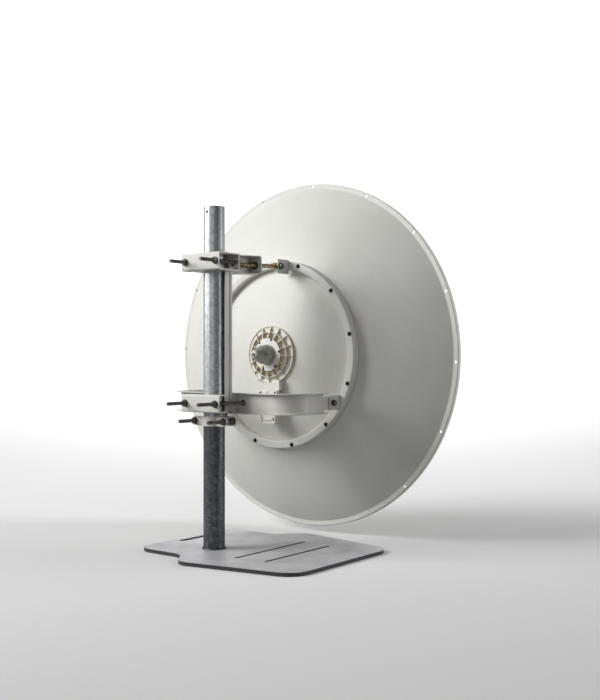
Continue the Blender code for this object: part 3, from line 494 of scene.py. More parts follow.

# %% [markdown]
# The base plate is 10 mm steel, painted a light grey that has been walked on: pale scuffs
# 20 to 60 mm long, and faint grime. Its faces that look sideways, the outline and the walls
# of the slots, are painted dark as painted shade, so the slots look deep. The mask is 1
# where the upward part of the normal is near zero.

# %% Painted plate
def painted_plate(name):
    material, tree, shader, place = finish_named(name)
    grime = node(
        tree, "TexNoise", {"Vector": place, "Scale": 9.0, "Detail": 8.0, "Roughness": 0.62}
    ).outputs["Fac"]
    slant = {"Vector": place, "Scale": (18.0, 90.0, 20.0), "Rotation": (0.0, 0.0, 0.6)}
    stretch = node(tree, "Mapping", slant).outputs[0]
    scuffs = node(
        tree, "TexNoise", {"Vector": stretch, "Scale": 1.0, "Detail": 6.0, "Roughness": 0.7}
    ).outputs["Fac"]
    paint = ramp(tree, grime, [(0.30, "A9A9AC"), (0.62, "C6C6C9")])
    worn = ramp(tree, scuffs, [(0.60, "000000"), (0.74, "505050")])
    share = node(tree, "SeparateColor", {"Color": worn}).outputs[0]
    scuffed = mixed(tree, share, paint, linear("E0E0E0"))
    normal = node(tree, "TexCoord").outputs["Normal"]
    upward = node(tree, "SeparateXYZ", {"Vector": normal}).outputs["Z"]
    height = node(tree, "Math", {0: upward}, operation="ABSOLUTE").outputs[0]
    # The faces that look sideways are painted dark: painted shade on the outline and in the slots.
    painted_side_shade = node(tree, "Math", {0: height, 1: 0.3}, operation="LESS_THAN").outputs[0]
    colour = mixed(tree, painted_side_shade, scuffed, linear("3C3C3E"))
    finished(tree, shader, colour, (grime, 0.55, 0.40), (scuffs, 0.08, 0.0003), 0.15)
    return material


plate_paint = painted_plate("grey_paint_on_steel_plate")
print("plate:", plate_paint.name)

# %% [markdown]
# The CAD nodes whose shape is already right keep it, and only take a finish. The list
# says which finish each node gets, and every node that is made again below has the same.

# %% Finishes of the CAD nodes
finish_of = {
    "base_plate": plate_paint,
    "foot_weld": pole_zinc,
    "pole": pole_zinc,
    "adjusting_rod": yellow_zinc,
    "reflector": reflector_coat,
    "mounting_ring": reflector_coat,
    "hub": abs_plastic,
    "radio_tray": abs_plastic,
    "feed_adapter": cast_zinc,
    "connector_end": brass,
    "connector_side": brass,
    "feed_tube": aluminium,
    "splash_plate": aluminium,
    "feed_cone": feed_plastic,
}
for name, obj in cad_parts.items():
    metal = "bolt" in name or "nut" in name or "pin" in name
    obj.data.materials.clear()
    obj.data.materials.append(finish_of.get(name, dark_zinc if metal else bracket_coat))
print("finished nodes:", len(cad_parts))

# A piece's body, slot and material, for those that several pieces have in common
ON_STAND = ("stand", "galvanised_steel", pole_zinc)
COATED = ("head", "bracket_powder_coat", bracket_coat)
WHITE = ("dish", "white_powder_coat", reflector_coat)
MOULDED = ("dish", "ivory_moulded_plastic", abs_plastic)
BLACK = ("dish", "dark_zinc_fasteners", black_zinc)
BRASS = ("dish", "brass_connector", brass)

# %% [markdown]
# The bowl is a paraboloid: its back lies at y = apex + curve times radius squared. The
# sheet turns into a flat flange and then forwards into a lip, each over a small radius.
# The flange has sixteen holes through which daylight shows. Round each hole a small square
# of the flange is a grid that blends from the hole's circle to the square's border, and
# between the squares the flange is plain.

# %% Reflector
SECTORS, HOLE_CIRCLE, HOLE_RADIUS = 16, 0.5144, 0.0040
FLANGE = (0.5095, 0.5195)
SECTOR, SQUARE = np.pi / 16, 0.0098
near_hole = np.linspace(-SQUARE, SQUARE, 9)
between = np.linspace(SQUARE, 2 * SECTOR - SQUARE, 15)


def bowl_y(radius):
    """Where the back of the bowl is, at a distance from the axis."""
    return APEX_Y + BOWL_CURVE * radius**2


def around(radius, y, angle):
    """Points at this radius and these angles about the dish's axis."""
    return points_of(radius * np.cos(angle), y, AXIS_Z + radius * np.sin(angle))


def square_with_hole(middle):
    """Straight blends from the hole (share 0) to the border of the square (share 1)."""
    inner, outer = FLANGE
    side = np.linspace(inner, outer, 5)
    sides = [
        (inner, near_hole[:-1]), (side[:-1], SQUARE), (outer, near_hole[:0:-1]),
        (side[:0:-1], -SQUARE),
    ]
    edge = np.vstack([around(radius, RIM_Y, angle + middle) for radius, angle in sides])
    centre = around(HOLE_CIRCLE, RIM_Y, middle)
    spoke = edge - centre
    angle = np.arctan2(spoke[:, 2], spoke[:, 0])
    hole = centre + HOLE_RADIUS * np.stack([np.cos(angle), 0 * angle, np.sin(angle)], axis=-1)
    share = np.array([0.0, 0.3, 1.0])[:, None, None]
    return grid(hole + (edge - hole) * share, closed_columns=True)


def reflector_skin():
    """The back of the sheet: bowl, bend into the flange, drilled flange, bend and lip."""
    middles = TURN + 2 * SECTOR * np.arange(SECTORS)
    angles = (middles[:, None] + np.concatenate([near_hole, between[1:-1]])).reshape(-1)
    radius = np.concatenate([[0.0], np.linspace(0.02, 0.5045, 56)])
    bowl = np.stack([radius, bowl_y(radius)], axis=1)
    bend = [(0.5045, bowl_y(0.5045), 0), (0.508, RIM_Y, 0.004), (FLANGE[0], RIM_Y, 0)]
    bend = rounded(bend, closed=False, steps=6)
    front = RIM_Y + LIP_DEPTH
    lip = [(FLANGE[1], RIM_Y, 0), (REFLECTOR_RADIUS, RIM_Y, 0.003), (REFLECTOR_RADIUS, front, 0)]
    lip = rounded(lip, closed=False, steps=8)
    inside = turned(np.vstack([bowl[:-1], bend]), angles=angles)
    outside = turned(lip, angles=angles)
    squares = [square_with_hole(middle) for middle in middles]
    across_flange = np.linspace(*FLANGE, 5)
    plain = [
        grid(around(across_flange, RIM_Y, (middle + between)[:, None])) for middle in middles
    ]
    return joined(inside, outside, *squares, *plain)


reflector = piece("reflector_sheet", reflector_skin(), *WHITE, ["reflector"], merge=5e-5)
normals = np.zeros(len(reflector.data.polygons) * 3)
reflector.data.polygons.foreach_get("normal", normals)
looks_back = normals.reshape(-1, 3)[:, 1].mean() < 0
wall = reflector.modifiers.new("sheet thickness", "SOLIDIFY")
wall.thickness = SHEET
wall.use_even_offset = True
wall.offset = -1.0 if looks_back else 1.0
print("the skin's faces look back:", bool(looks_back))

# %% [markdown]
# The mounting ring is a pressed channel. Its flat face carries the ears, and its two
# walls stand on the bowl. The inner edge is turned over a wide radius and catches the
# light as one bright line.

# %% Mounting ring
RING_FACE, RING_INNER, RING_OUTER = 0.271, 0.2545, 0.277
ring_corners = [
    (RING_INNER + 0.0001, bowl_y(RING_INNER) - 0.0006, 0), (RING_INNER, RING_FACE, 0.0035),
    (RING_OUTER, RING_FACE, 0.0030), (RING_OUTER, bowl_y(RING_OUTER) - 0.0009, 0),
]
ring_line = thickened(rounded(ring_corners, closed=False, steps=8), 0.0022)
piece("ring_channel", turned(looped(ring_line), 256), *WHITE, ["mounting_ring"])

# %% [markdown]
# A hexagon nut is a round bar cut by three pairs of planes, with its corners turned off.
# Its outline at an angle is the smaller of two radii: the hexagon's, which is half the
# width across flats over the cosine of the angle from the nearest flat, and the radius of
# the cone that the corners were turned to.

# %% Nuts, washers and bolt heads
def hexagon(angle, flats, spin=0.0):
    """Radius of a hexagon at an angle, its first flat facing the spin's direction."""
    nearest = (angle - spin + np.pi / 6) % (np.pi / 3) - np.pi / 6
    return flats / 2 / np.cos(nearest)


def hex_body(low, high, flats, bore=0.0, spin=0.0, turned_low=True, turned_high=True, steps=72):
    """A hexagonal prism along z with turned corners, and a bore when the radius isn't 0."""
    angle = circle(steps)
    shallow, deep = 0.0006, 0.0016
    rows = np.array([low, low + shallow, low + deep, high - deep, high - shallow, high])
    from_low = np.clip(deep - (rows - low), 0, None) * turned_low
    from_high = np.clip(deep - (high - rows), 0, None) * turned_high
    cone = flats / math.sqrt(3) - 1.15 * np.maximum(from_low, from_high)
    radius = np.minimum(hexagon(angle, flats, spin)[None, :], cone[:, None])
    middle = np.full((1, steps), max(bore, FINE))
    radius = np.vstack([middle, radius, middle])
    z = np.concatenate([[low], rows, [high]])[:, None]
    points = points_of(radius * np.cos(angle), radius * np.sin(angle), z)
    return grid(points, closed_rows=bore > 0, closed_columns=True)


def washer(low, high, radius, bore, steps=48):
    """A flat ring along z with slightly rounded rims."""
    r = 0.0003
    flat, rim = radius - r, [(radius, low + r), (radius, high - r)]
    return upright(looped([(bore, low), (flat, low), *rim, (flat, high), (bore, high)]), steps)


def threaded(low, high, radius, pitch, steps=20, rows_per_turn=6):
    """A screw thread along z: the radius dips once per pitch, and the dip turns with the angle."""
    count = int((high - low) / pitch * rows_per_turn)
    z = np.linspace(low, high, count)[:, None]
    angle = circle(steps)[None, :]
    wave = 0.5 - 0.5 * np.cos(2 * np.pi * (z / pitch) - angle)
    point = radius - 0.0012
    r = np.minimum(radius - 0.55 * pitch * wave, point + np.minimum(z - low, high - z))
    r = np.maximum(r, point)
    r[0], r[-1] = FINE, FINE
    z[0], z[1], z[-2], z[-1] = low, low, high, high
    return grid(points_of(r * np.cos(angle), r * np.sin(angle), z), closed_columns=True)


def dome(low, height, radius, steps=48):
    """A round head along z: half an ellipse turned about the axis."""
    t = np.linspace(0, np.pi / 2, 10)
    arc = np.stack([radius * np.cos(t), low + height * np.sin(t)], axis=1)
    return upright(np.vstack([[0, low], arc]), steps)


ALONG_Y = np.array([[1, 0, 0], [0, 0, 1], [0, -1, 0]], float)
ALONG_X = np.array([[0, 0, 1], [0, 1, 0], [-1, 0, 0]], float)
LOOKS_BACK = np.array([[1, 0, 0], [0, 0, -1], [0, 1, 0]], float)


def at(rotation, origin):
    """A matrix of three rows and four columns from a rotation and a place."""
    return np.hstack([rotation, np.array(origin, float)[:, None]])


def fastener(name, patch, body, ending="_threaded"):
    """A bolt, pin or nut in dull zinc, made again for the CAD node of that name."""
    piece(name + ending, patch, body, "dark_zinc_fasteners", dark_zinc, [name], merge=FINE)


print("faces of one nut:", len(hex_body(0, 0.008, 0.016, 0.005)[1]))

# %% [markdown]
# Each clamp has two long threaded rods. Their tails stick out behind, where a nut and a
# washer pull the clamp against the pole. The lower pair goes on to the fork's web, with
# nuts on both sides of it.

# %% Clamp bolts
FLATS, PITCH, BOLT_RADIUS, BORE = 0.0160, 0.0015, 0.005, 0.0045
TAIL = {"upper": -0.116, "lower": -0.125}
CLAMP_BACK, FORK_WEB, BOLT_X = -0.0565, 0.0605, 0.055


def nut_behind(face, spin):
    """A washer and a nut on a face that looks back, and so run towards lower y."""
    return joined(
        washer(face - 0.0019, face - TOUCH, 0.0100, BOLT_RADIUS),
        hex_body(face - 0.0093, face - 0.0019, FLATS, BORE, spin),
    )


def head_before(face, spin):
    """A bolt head on a face that looks forward."""
    return hex_body(face + TOUCH, face + 0.0064, FLATS, 0.0, spin, turned_low=False)


spins = {"upper_left": 0.35, "upper_right": 0.1, "lower_left": 0.2, "lower_right": 0.45}
for level in ("upper", "lower"):
    for hand, x in (("left", -BOLT_X), ("right", BOLT_X)):
        spin = spins[f"{level}_{hand}"]
        if level == "upper":
            end = CHANNEL_FACE
            parts = [head_before(end, spin + 0.2)]
        else:
            end = FORK_WEB + STEEL
            thin_nut = hex_body(FORK_WEB - 0.0055, FORK_WEB - TOUCH, 0.0150, BORE, spin + 0.3)
            parts = [thin_nut, head_before(end, spin)]
        thread = threaded(TAIL[level], end + 0.001, BOLT_RADIUS, PITCH)
        patch = joined(*parts, thread, nut_behind(CLAMP_BACK, spin))
        place = at(ALONG_Y, (x, 0, CLAMP_Z[level]))
        fastener(f"{level}_clamp_bolt_{hand}", placed(patch, place), "head")

# %% [markdown]
# The rest clamp sits on the pole just below and keeps the head from sliding down. Its two
# rods are the same, with nuts on the back strap and on both sides of the front strap.

# %% Rest clamp bolts
REST_Z, REST_FACE, REST_INNER = 0.360, 0.0205, 0.017
for hand, x, spin in (("left", -0.0525, 0.15), ("right", 0.0525, 0.40)):
    patch = joined(
        threaded(-0.0825, REST_FACE + 0.001, BOLT_RADIUS, PITCH),
        nut_behind(-REST_FACE, spin),
        nut_behind(REST_INNER, spin + 0.2),
        head_before(REST_FACE, spin),
    )
    fastener(f"rest_bolt_{hand}", placed(patch, at(ALONG_Y, (x, 0, REST_Z))), "stand")

# %% [markdown]
# The adjusting rod is thicker and yellow. One nut on each side of the bracket's end
# flange holds it, a third locks its eye, and the eye hangs on a pin in the top ear. The
# rod drops a little towards the pole, so it and its nuts are turned about the pin.

# %% Adjusting rod and its nuts
NUT_SIZE, ROD_RADIUS, ROD_PITCH = 0.0178, 0.006, 0.00175
pin = np.array([ROD_X, ROD_Y, ROD_Z])
cos_tilt, sin_tilt = math.cos(ROD_TILT), math.sin(ROD_TILT)
turn_by_tilt = np.array([[1, 0, 0], [0, cos_tilt, -sin_tilt], [0, sin_tilt, cos_tilt]])
TILT = at(turn_by_tilt, pin - turn_by_tilt @ pin)
EYE_RADIUS, EYE_HALF = 0.0115, 0.0075


def eye():
    """A short bar along x with rounded rims and a bore, round the pin."""
    bore, rim = 0.0053, 0.001
    outline = oblong((bore, EYE_RADIUS), (-EYE_HALF, EYE_HALF), (0, rim, rim, 0), 4)
    across_x = np.array([[0, 0, 1], [1, 0, 0], [0, 1, 0]], float)
    return placed(upright(looped(outline), 48), at(across_x, pin))


on_rod = at(ALONG_Y, (ROD_X, 0, ROD_Z))
rod_parts = joined(
    threaded(0.0315, 0.2140, ROD_RADIUS, ROD_PITCH),
    hex_body(0.2085, 0.2145, NUT_SIZE, 0.0055, 0.2),
    washer(0.2145, 0.2230, 0.008, 0.001),
)
patch = placed(joined(placed(rod_parts, on_rod), eye()), TILT)
yellow = ("rod", "yellow_zinc_rod", yellow_zinc)
piece("adjusting_rod_threaded", patch, *yellow, ["adjusting_rod"], merge=FINE)

FLANGE_BACK, FLANGE_FRONT, SLACK = 0.131, 0.134, 0.0006
NUT_BORE, COLLAR = 0.0063, 0.0022
for name, face, way, depth in (
    ("adjuster_nut_back", FLANGE_BACK - SLACK, -1, 0.010),
    ("adjuster_nut_front", FLANGE_FRONT + SLACK, 1, 0.007),
):
    inner, outer = face + way * COLLAR, face + way * depth
    body = hex_body(min(inner, outer), max(inner, outer), NUT_SIZE, NUT_BORE, 0.0)
    collar = washer(min(face, inner), max(face, inner), 0.011, NUT_BORE)
    fastener(name, placed(placed(joined(body, collar), on_rod), TILT), "nuts", "_turned")

# %% [markdown]
# The pivot bolts and the top pin lie along x. Outside is a wide washer and a nut with the
# bolt's end in it, inside are the same on the fork's tongue.

# %% Pivot bolts and pin
def across(low_face, high_face, place, side, spin, reach=0.0105):
    """A bolt along x from behind the low face to before the high face."""
    flats, wide = 0.0145, 0.0095
    parts = joined(
        threaded(low_face - reach, high_face + reach, BOLT_RADIUS, PITCH),
        washer(low_face - 0.0019, low_face - TOUCH, wide, BOLT_RADIUS),
        hex_body(low_face - 0.0085, low_face - 0.0019, flats, BORE, spin),
        washer(high_face + TOUCH, high_face + 0.0019, wide, BOLT_RADIUS),
        hex_body(high_face + 0.0019, high_face + 0.0088, flats, BORE, spin + 0.3),
    )
    turn = ALONG_X if side > 0 else ALONG_X * np.array([[-1], [-1], [1]])
    return placed(parts, at(turn, place))


for hand, side in (("left", -1), ("right", 1)):
    patch = across(0.2240, 0.2315, (0, PIVOT_Y, PIVOT_Z), side, 0.3)
    fastener(f"pivot_bolt_{hand}", patch, "dish")
fastener("adjuster_pin", across(-0.0087, 0.0117, pin, 1, 0.1), "dish")

# %% [markdown]
# Twelve short bolts hold the ring. They are small and repeated, so each is a low washer
# and a low head, and all twelve are one piece.

# %% Ring bolts
RING_BOLT_CIRCLE = 0.2695
made = []
for i, angle in enumerate(TURN - 0.005 + np.radians(15 + 30 * np.arange(12))):
    head = joined(
        washer(-0.0012, 0.0, 0.0062, 0.001, steps=24),
        hex_body(-0.0052, -0.0012, 0.0085, 0.0, 0.4 * i, turned_high=False, steps=36),
    )
    made.append(placed(head, at(ALONG_Y, around(RING_BOLT_CIRCLE, RING_FACE, angle))))
piece("ring_bolts", joined(*made), *BLACK, merge=FINE)

# %% [markdown]
# The pole is plain tube: a wall 3 mm thick, open at the top, with its cut edges slightly
# rounded, and a small hole drilled through both walls near the top. A smooth tube needs
# many steps round, or its highlight breaks into flats.

# %% Pole and its weld
POLE_INSIDE, POLE_RIM = POLE_RADIUS - 0.003, 0.0006
HOLE_Z, POLE_HOLE = POLE_TOP - 0.0165, 0.0040
pole_corners = [
    (POLE_RADIUS, POLE_LOW, 0), (POLE_RADIUS, POLE_TOP, POLE_RIM),
    (POLE_INSIDE, POLE_TOP, POLE_RIM), (POLE_INSIDE, POLE_LOW, 0),
]
pole_skin = upright(looped(rounded(pole_corners, steps=3)), 96)
pole = piece("pole_tube", pole_skin, *ON_STAND, ["pole"])
carve(pole, bar((0, -0.05, HOLE_Z), (0, 0.05, HOLE_Z), POLE_HOLE, 24))

WELD_RADIUS, BEAD, RIPPLE, RIPPLES = POLE_RADIUS + TOUCH, 0.0038, 0.0004, 40
bead_angle = circle(240)[:, None]
rise = np.linspace(0, np.pi / 2, 7)
bead = BEAD + RIPPLE * np.sin(RIPPLES * bead_angle)
bead_r = np.hstack([WELD_RADIUS + bead * np.cos(rise), np.full((240, 1), WELD_RADIUS)])
bead_z = np.hstack([POLE_LOW + bead * np.sin(rise), np.full((240, 1), POLE_LOW)])
weld = points_of(bead_r * np.cos(bead_angle), bead_r * np.sin(bead_angle), bead_z)
weld = grid(weld, closed_rows=True, closed_columns=True)
piece("weld_bead", weld, *ON_STAND, ["foot_weld"])

# %% [markdown]
# The fork is one strip of steel, pressed into a channel whose edges turn outwards and
# then bent into a U. Its section is carried along the plan of the U. A flat tongue with a
# round end goes on from each arm to the pivot.

# %% Fork
ARM_X, FORK_HALF, FLANGE_OUT, FORK_BEND, FLANGE_END = 0.227, 0.029, 0.0145, 0.075, 0.199


def fork_section():
    """The web at out = 0 and its two flanges outwards, with round bends, as a closed outline."""
    low, high, out, t = PIVOT_Z - FORK_HALF, PIVOT_Z + FORK_HALF, FLANGE_OUT, STEEL
    corners = [
        (out, low, CUT_EDGE), (-t, low, 0.0045), (-t, high, 0.0045), (out, high, CUT_EDGE),
        (out, high - t, CUT_EDGE), (0, high - t, 0.0020), (0, low + t, 0.0020),
        (out, low + t, CUT_EDGE),
    ]
    return rounded(corners, steps=5)


def fork_path():
    """Plan of the U, from the left arm's end round to the right arm's end."""
    corners = [
        (-ARM_X, FLANGE_END, 0), (-ARM_X, FORK_WEB, FORK_BEND),
        (ARM_X, FORK_WEB, FORK_BEND), (ARM_X, FLANGE_END, 0),
    ]
    bends = rounded(corners, closed=False, steps=40)
    middle = len(bends) // 2
    filling = np.linspace(bends[middle - 1], bends[middle], 9)[1:-1]
    return np.vstack([bends[:middle], filling, bends[middle:]])


def tongue(side):
    """A plate along y in the web's plane, with a round end about the pivot."""
    h = 0.018
    y, z = (FLANGE_END - 0.008, PIVOT_Y + h), (PIVOT_Z - h, PIVOT_Z + h)
    outline = oblong(y, z, (0, h * 0.998, h * 0.998, 0), 16)
    near, far = sorted((side * (ARM_X - STEEL + 0.0001), side * (ARM_X - 0.0001)))
    return extruded(outline, near, far, "yz")


fork_patch = joined(carried(fork_section(), fork_path()), tongue(-1), tongue(1))
piece("fork_channel", fork_patch, *COATED, ["fork"], merge=FINE)

# %% [markdown]
# A clamp half is a short channel, open towards the pole, with both flanges notched to a
# part of a circle. The notch is taken out with a round bar. The front half of the upper
# clamp has the same section, a deeper notch, and a window that the adjusting rod enters.

# %% Clamps
def clamp_section(z, back, edge):
    """A channel in (y, z): its web at y = back, its flanges up to y = edge, round bends."""
    low, high, bend = z - CLAMP_HALF, z + CLAMP_HALF, back + math.copysign(STEEL, edge - back)
    corners = [
        (edge, low, CUT_EDGE), (edge, low + STEEL, CUT_EDGE), (bend, low + STEEL, 0.0020),
        (bend, high - STEEL, 0.0020), (edge, high - STEEL, CUT_EDGE), (edge, high, CUT_EDGE),
        (back, high, 0.0050), (back, low, 0.0050),
    ]
    return rounded(corners, steps=6)


def box_between(low, high):
    """A closed box from its low corner to its high one."""
    x, y, z = zip(low, high)
    return extruded(oblong(x, y), *z, "xy")


POLE_ROOM = POLE_RADIUS + 0.0004
for level, z in CLAMP_Z.items():
    name = f"{level}_clamp"
    patch = extruded(clamp_section(z, CLAMP_BACK, -0.0225), -0.0685, 0.0685, "yz")
    clamp = piece(name + "_channel", patch, *COATED, [name])
    carve(clamp, bar((0, 0, z - 0.05), (0, 0, z + 0.05), POLE_ROOM, 96))

z = CLAMP_Z["upper"]
patch = extruded(clamp_section(z, CHANNEL_FACE, -0.017), -0.0635, 0.0635, "yz")
front = piece("front_clamp_channel", patch, *COATED, ["upper_front_plate"])
window_z = ROD_Z - 0.1999 * sin_tilt
carve(
    front,
    bar((0, 0, z - 0.05), (0, 0, z + 0.05), POLE_ROOM, 96),
    box_between((-POLE_ROOM, -0.03, z - 0.05), (POLE_ROOM, 0, z + 0.05)),
    box_between((ROD_X - 0.009, 0, window_z - 0.012), (ROD_X + 0.009, 0.05, window_z + 0.009)),
)

# %% [markdown]
# The upright channel lies in front of the pole and its flanges reach back on both sides,
# so a strip of it shows beside the pole. A groove is pressed along each flange, which
# stiffens it and shows as a dark line. The section is drawn in plan and carried up.

# %% Upright channel
def upright_section():
    """Half the section with its groove, and the same mirrored."""
    half, edge, soft, groove = 0.040, 0.001, 0.0008, 0.0036
    inner = half - STEEL
    outside = [
        (half, edge, CUT_EDGE), (half, 0.0170, soft), (half - groove, 0.0180, soft),
        (half - groove, 0.0215, soft), (half, 0.0225, soft), (half, CHANNEL_FACE, 0.005),
    ]
    inside = [
        (inner, POLE_RADIUS + TOUCH, 0.002), (inner, 0.0245, soft),
        (inner - groove, 0.0235, soft), (inner - groove, 0.0160, soft), (inner, 0.0150, soft),
        (inner, edge, CUT_EDGE),
    ]
    left_outside = [(-x, y, r) for x, y, r in outside[::-1]]
    left_inside = [(-x, y, r) for x, y, r in inside[::-1]]
    return rounded(outside + left_outside + left_inside + inside, steps=4)


patch = extruded(upright_section(), 0.386, 0.7692, "xy")
piece("mast_channel_bent", patch, *COATED, ["mast_channel"])

# %% [markdown]
# The adjuster's bracket is a channel too, open to the right, so that a spanner reaches
# the nut. Its end is folded in as a flange with round corners. The flange's slot lets the
# rod drop a little as the dish tips up.

# %% Adjuster bracket
BRACKET_X, BRACKET_Z = (0.020, 0.059), (ROD_Z - 0.026, ROD_Z + 0.027)
SLOT_HALF, SLOT_DROP, SLOT_CORNER = 0.0066, 0.0096, 0.0065
(x0, x1), (z0, z1) = BRACKET_X, BRACKET_Z
outside = oblong(BRACKET_X, BRACKET_Z, (0.004, 0.008, 0.008, 0.004))
shell = placed(extruded(outside, CHANNEL_FACE - 0.02, FLANGE_FRONT, "xz"), TILT)
bracket = piece("adjuster_bracket_folded", shell, *COATED, ["adjuster_bracket"])
inside = oblong((x0 + STEEL, x1 + 0.02), (z0 + STEEL, z1 - STEEL), (0.0015, 0, 0, 0.0015), 6)
slot_x, slot_z = (ROD_X - SLOT_HALF, ROD_X + SLOT_HALF), (ROD_Z - SLOT_DROP, ROD_Z + SLOT_HALF)
slot = oblong(slot_x, slot_z, [SLOT_CORNER] * 4, 6)
foot_drop = (ROD_Y - CHANNEL_FACE) * sin_tilt
carve(
    bracket,
    placed(extruded(inside, CHANNEL_FACE - 0.05, FLANGE_BACK, "xz"), TILT),
    placed(extruded(slot, FLANGE_BACK - 0.01, FLANGE_FRONT + 0.01, "xz"), TILT),
    box_between((0.0, CHANNEL_FACE - 0.1, 0.7), (0.1, CHANNEL_FACE + TOUCH, 0.9)),
)
foot_z = (z0 - foot_drop + 0.001, z1 - foot_drop - 0.001)
foot = oblong((-0.024, x0 + 0.0015), foot_z, (0.004, 0, 0, 0.004))
foot = extruded(foot, CHANNEL_FACE + TOUCH, CHANNEL_FACE + TOUCH + STEEL, "xz")
piece("adjuster_bracket_foot", foot, *COATED)

# %% [markdown]
# The hub is the moulded disc that carries the feed. From a flat middle plate sixteen
# thin ribs run outwards and get lower, tied together by two thin rings. Its skin is a
# turned profile, and each rib is a thin wall. The walls are marked for a tan colour,
# painted shade and bounce light between the ribs. Beside the adapter a short slot goes
# into the plate.

# %% Hub
HUB_RADIUS, PLATE_RADIUS, PLATE_Y, RIBS = 0.084, 0.048, 0.229, 16
FIRST_RIB = math.radians(8.6)
RIM_BACK = bowl_y(HUB_RADIUS) - 0.0080


def rib_top(radius):
    """The ribs' back edge: level with the plate inside, and down to the rim outside."""
    share = np.clip((radius - PLATE_RADIUS) / (HUB_RADIUS - PLATE_RADIUS), 0, 1)
    return PLATE_Y + 0.0006 + (RIM_BACK - PLATE_Y - 0.0006) * share**1.25


def hub_skin():
    skin, seat = 0.0048, 0.0004
    radius = np.linspace(0, HUB_RADIUS, 12)
    front = np.stack([radius, bowl_y(radius) - seat], axis=1)
    outer_floor, ring_floor = bowl_y(0.075) - skin, bowl_y(0.0660) - skin
    ring_top, plate_foot = rib_top(0.066) - 0.0005, bowl_y(PLATE_RADIUS) - skin
    corners = [
        (HUB_RADIUS, bowl_y(HUB_RADIUS) - seat, 0), (HUB_RADIUS, RIM_BACK, 0.0006),
        (HUB_RADIUS - 0.0018, RIM_BACK, 0.0006), (HUB_RADIUS - 0.0020, outer_floor, 0.0004),
        (0.0670, outer_floor, 0.0004), (0.0668, ring_top, 0.0005), (0.0650, ring_top, 0.0005),
        (0.0648, ring_floor, 0.0004), (PLATE_RADIUS + 0.0004, plate_foot, 0.0004),
        (PLATE_RADIUS, PLATE_Y, 0.0012), (0, PLATE_Y, 0),
    ]
    return turned(np.vstack([front[:-1], rounded(corners, closed=False, steps=4)]), 144)


def hub_ribs():
    radius = np.linspace(PLATE_RADIUS - 0.001, HUB_RADIUS - 0.0012, 10)
    top, foot = rib_top(radius), bowl_y(radius) - 0.002
    half = 0.0009
    across_rib = np.array([-half, -half, half, half])
    along = np.stack([foot, top, top, foot], axis=1)
    flat, faces = grid(points_of(radius[:, None], along, across_rib), closed_columns=True)
    faces = faces + [[0, 1, 2, 3], [36, 37, 38, 39]]
    made = []
    for a in FIRST_RIB + 2 * np.pi * (np.arange(RIBS) + 0.5) / RIBS:
        turn = [[np.cos(a), 0, -np.sin(a)], [0, 1, 0], [np.sin(a), 0, np.cos(a)]]
        made.append(placed((flat, faces), at(turn, (0, 0, AXIS_Z))))
    return joined(*made)


hub = piece("hub_moulding", hub_skin(), *MOULDED, ["hub"], merge=FINE)
carve(hub, box_between((-0.0190, PLATE_Y - 0.01, 0.4985), (-0.0125, PLATE_Y + 0.0155, 0.5080)))
ribs = piece("hub_ribs", hub_ribs(), *MOULDED, merge=FINE)


def mark_painted_shade_walls(obj, low, high):
    """Writes the attribute wall, which carries painted shade: 1 on faces that look sideways and lie
    between two y values.
    """
    mesh = obj.data
    count = len(mesh.polygons)
    normal, centre = np.zeros(count * 3), np.zeros(count * 3)
    mesh.polygons.foreach_get("normal", normal)
    mesh.polygons.foreach_get("center", centre)
    sideways = np.abs(normal.reshape(-1, 3)[:, 1]) < 0.5
    y = centre.reshape(-1, 3)[:, 1]
    value = (sideways & (y > low) & (y < high)).astype(np.float32)
    mesh.attributes.new("wall", "FLOAT", "FACE").data.foreach_set("value", value)
    return int(value.sum())


print("wall faces:", [mark_painted_shade_walls(obj, 0.2295, 0.30) for obj in (hub, ribs)])

# %% [markdown]
# Under the hub a shallow tray of the same plastic takes a radio's clip. It is a plate with
# a shoulder, a pocket with a cut corner and a thin wall round it, a low round boss, and two
# screws. The plate is an outline carried forwards, and the rest is carved from it.

# %% Tray
TRAY_BACK, TRAY_FRONT, TRAY_WALL = 0.2310, 0.2480, 0.0025
tray_outline = [
    (-0.041, AXIS_Z - 0.050, 0), (-0.041, AXIS_Z - 0.163, 0.004),
    (-0.024, AXIS_Z - 0.201, 0.006), (0.028, AXIS_Z - 0.201, 0.005),
    (0.028, AXIS_Z - 0.131, 0), (0.034, AXIS_Z - 0.131, 0), (0.034, AXIS_Z - 0.104, 0),
    (0.043, AXIS_Z - 0.104, 0.001), (0.043, AXIS_Z - 0.050, 0),
]
pocket_outline = [
    (-0.041 + TRAY_WALL, AXIS_Z - 0.133, 0.002), (-0.041 + TRAY_WALL, AXIS_Z - 0.162, 0.004),
    (-0.024 + TRAY_WALL, AXIS_Z - 0.201 + TRAY_WALL, 0.004),
    (0.028 - TRAY_WALL, AXIS_Z - 0.201 + TRAY_WALL, 0.003),
    (0.028 - TRAY_WALL, AXIS_Z - 0.133, 0.002),
]
patch = extruded(rounded(tray_outline), TRAY_BACK, TRAY_FRONT, "xz")
tray = piece("tray_moulding", patch, *MOULDED, ["radio_tray"])
carve(
    tray,
    bar((0, 0.20, AXIS_Z), (0, 0.30, AXIS_Z), HUB_RADIUS + TOUCH, 144),
    extruded(rounded(pocket_outline), TRAY_BACK - 0.01, TRAY_BACK + 0.0040, "xz"),
    box_between((0.0150, TRAY_BACK - 0.01, 0.3480), (0.0215, TRAY_FRONT - 0.0020, 0.3580)),
)
wall_line = [
    (-0.030, 0.405, 0), (-0.030, 0.372, 0.003), (-0.019, 0.3500, 0.003), (0.011, 0.3500, 0),
]
inner_wall = thickened(rounded(wall_line, closed=False), 0.0012)
boss = placed(dome(0.0, 0.0016, 0.0068), at(LOOKS_BACK, (-0.003, TRAY_BACK, 0.4350)))
tray_walls = joined(extruded(inner_wall, TRAY_BACK + 0.001, TRAY_BACK + 0.0042, "xz"), boss)
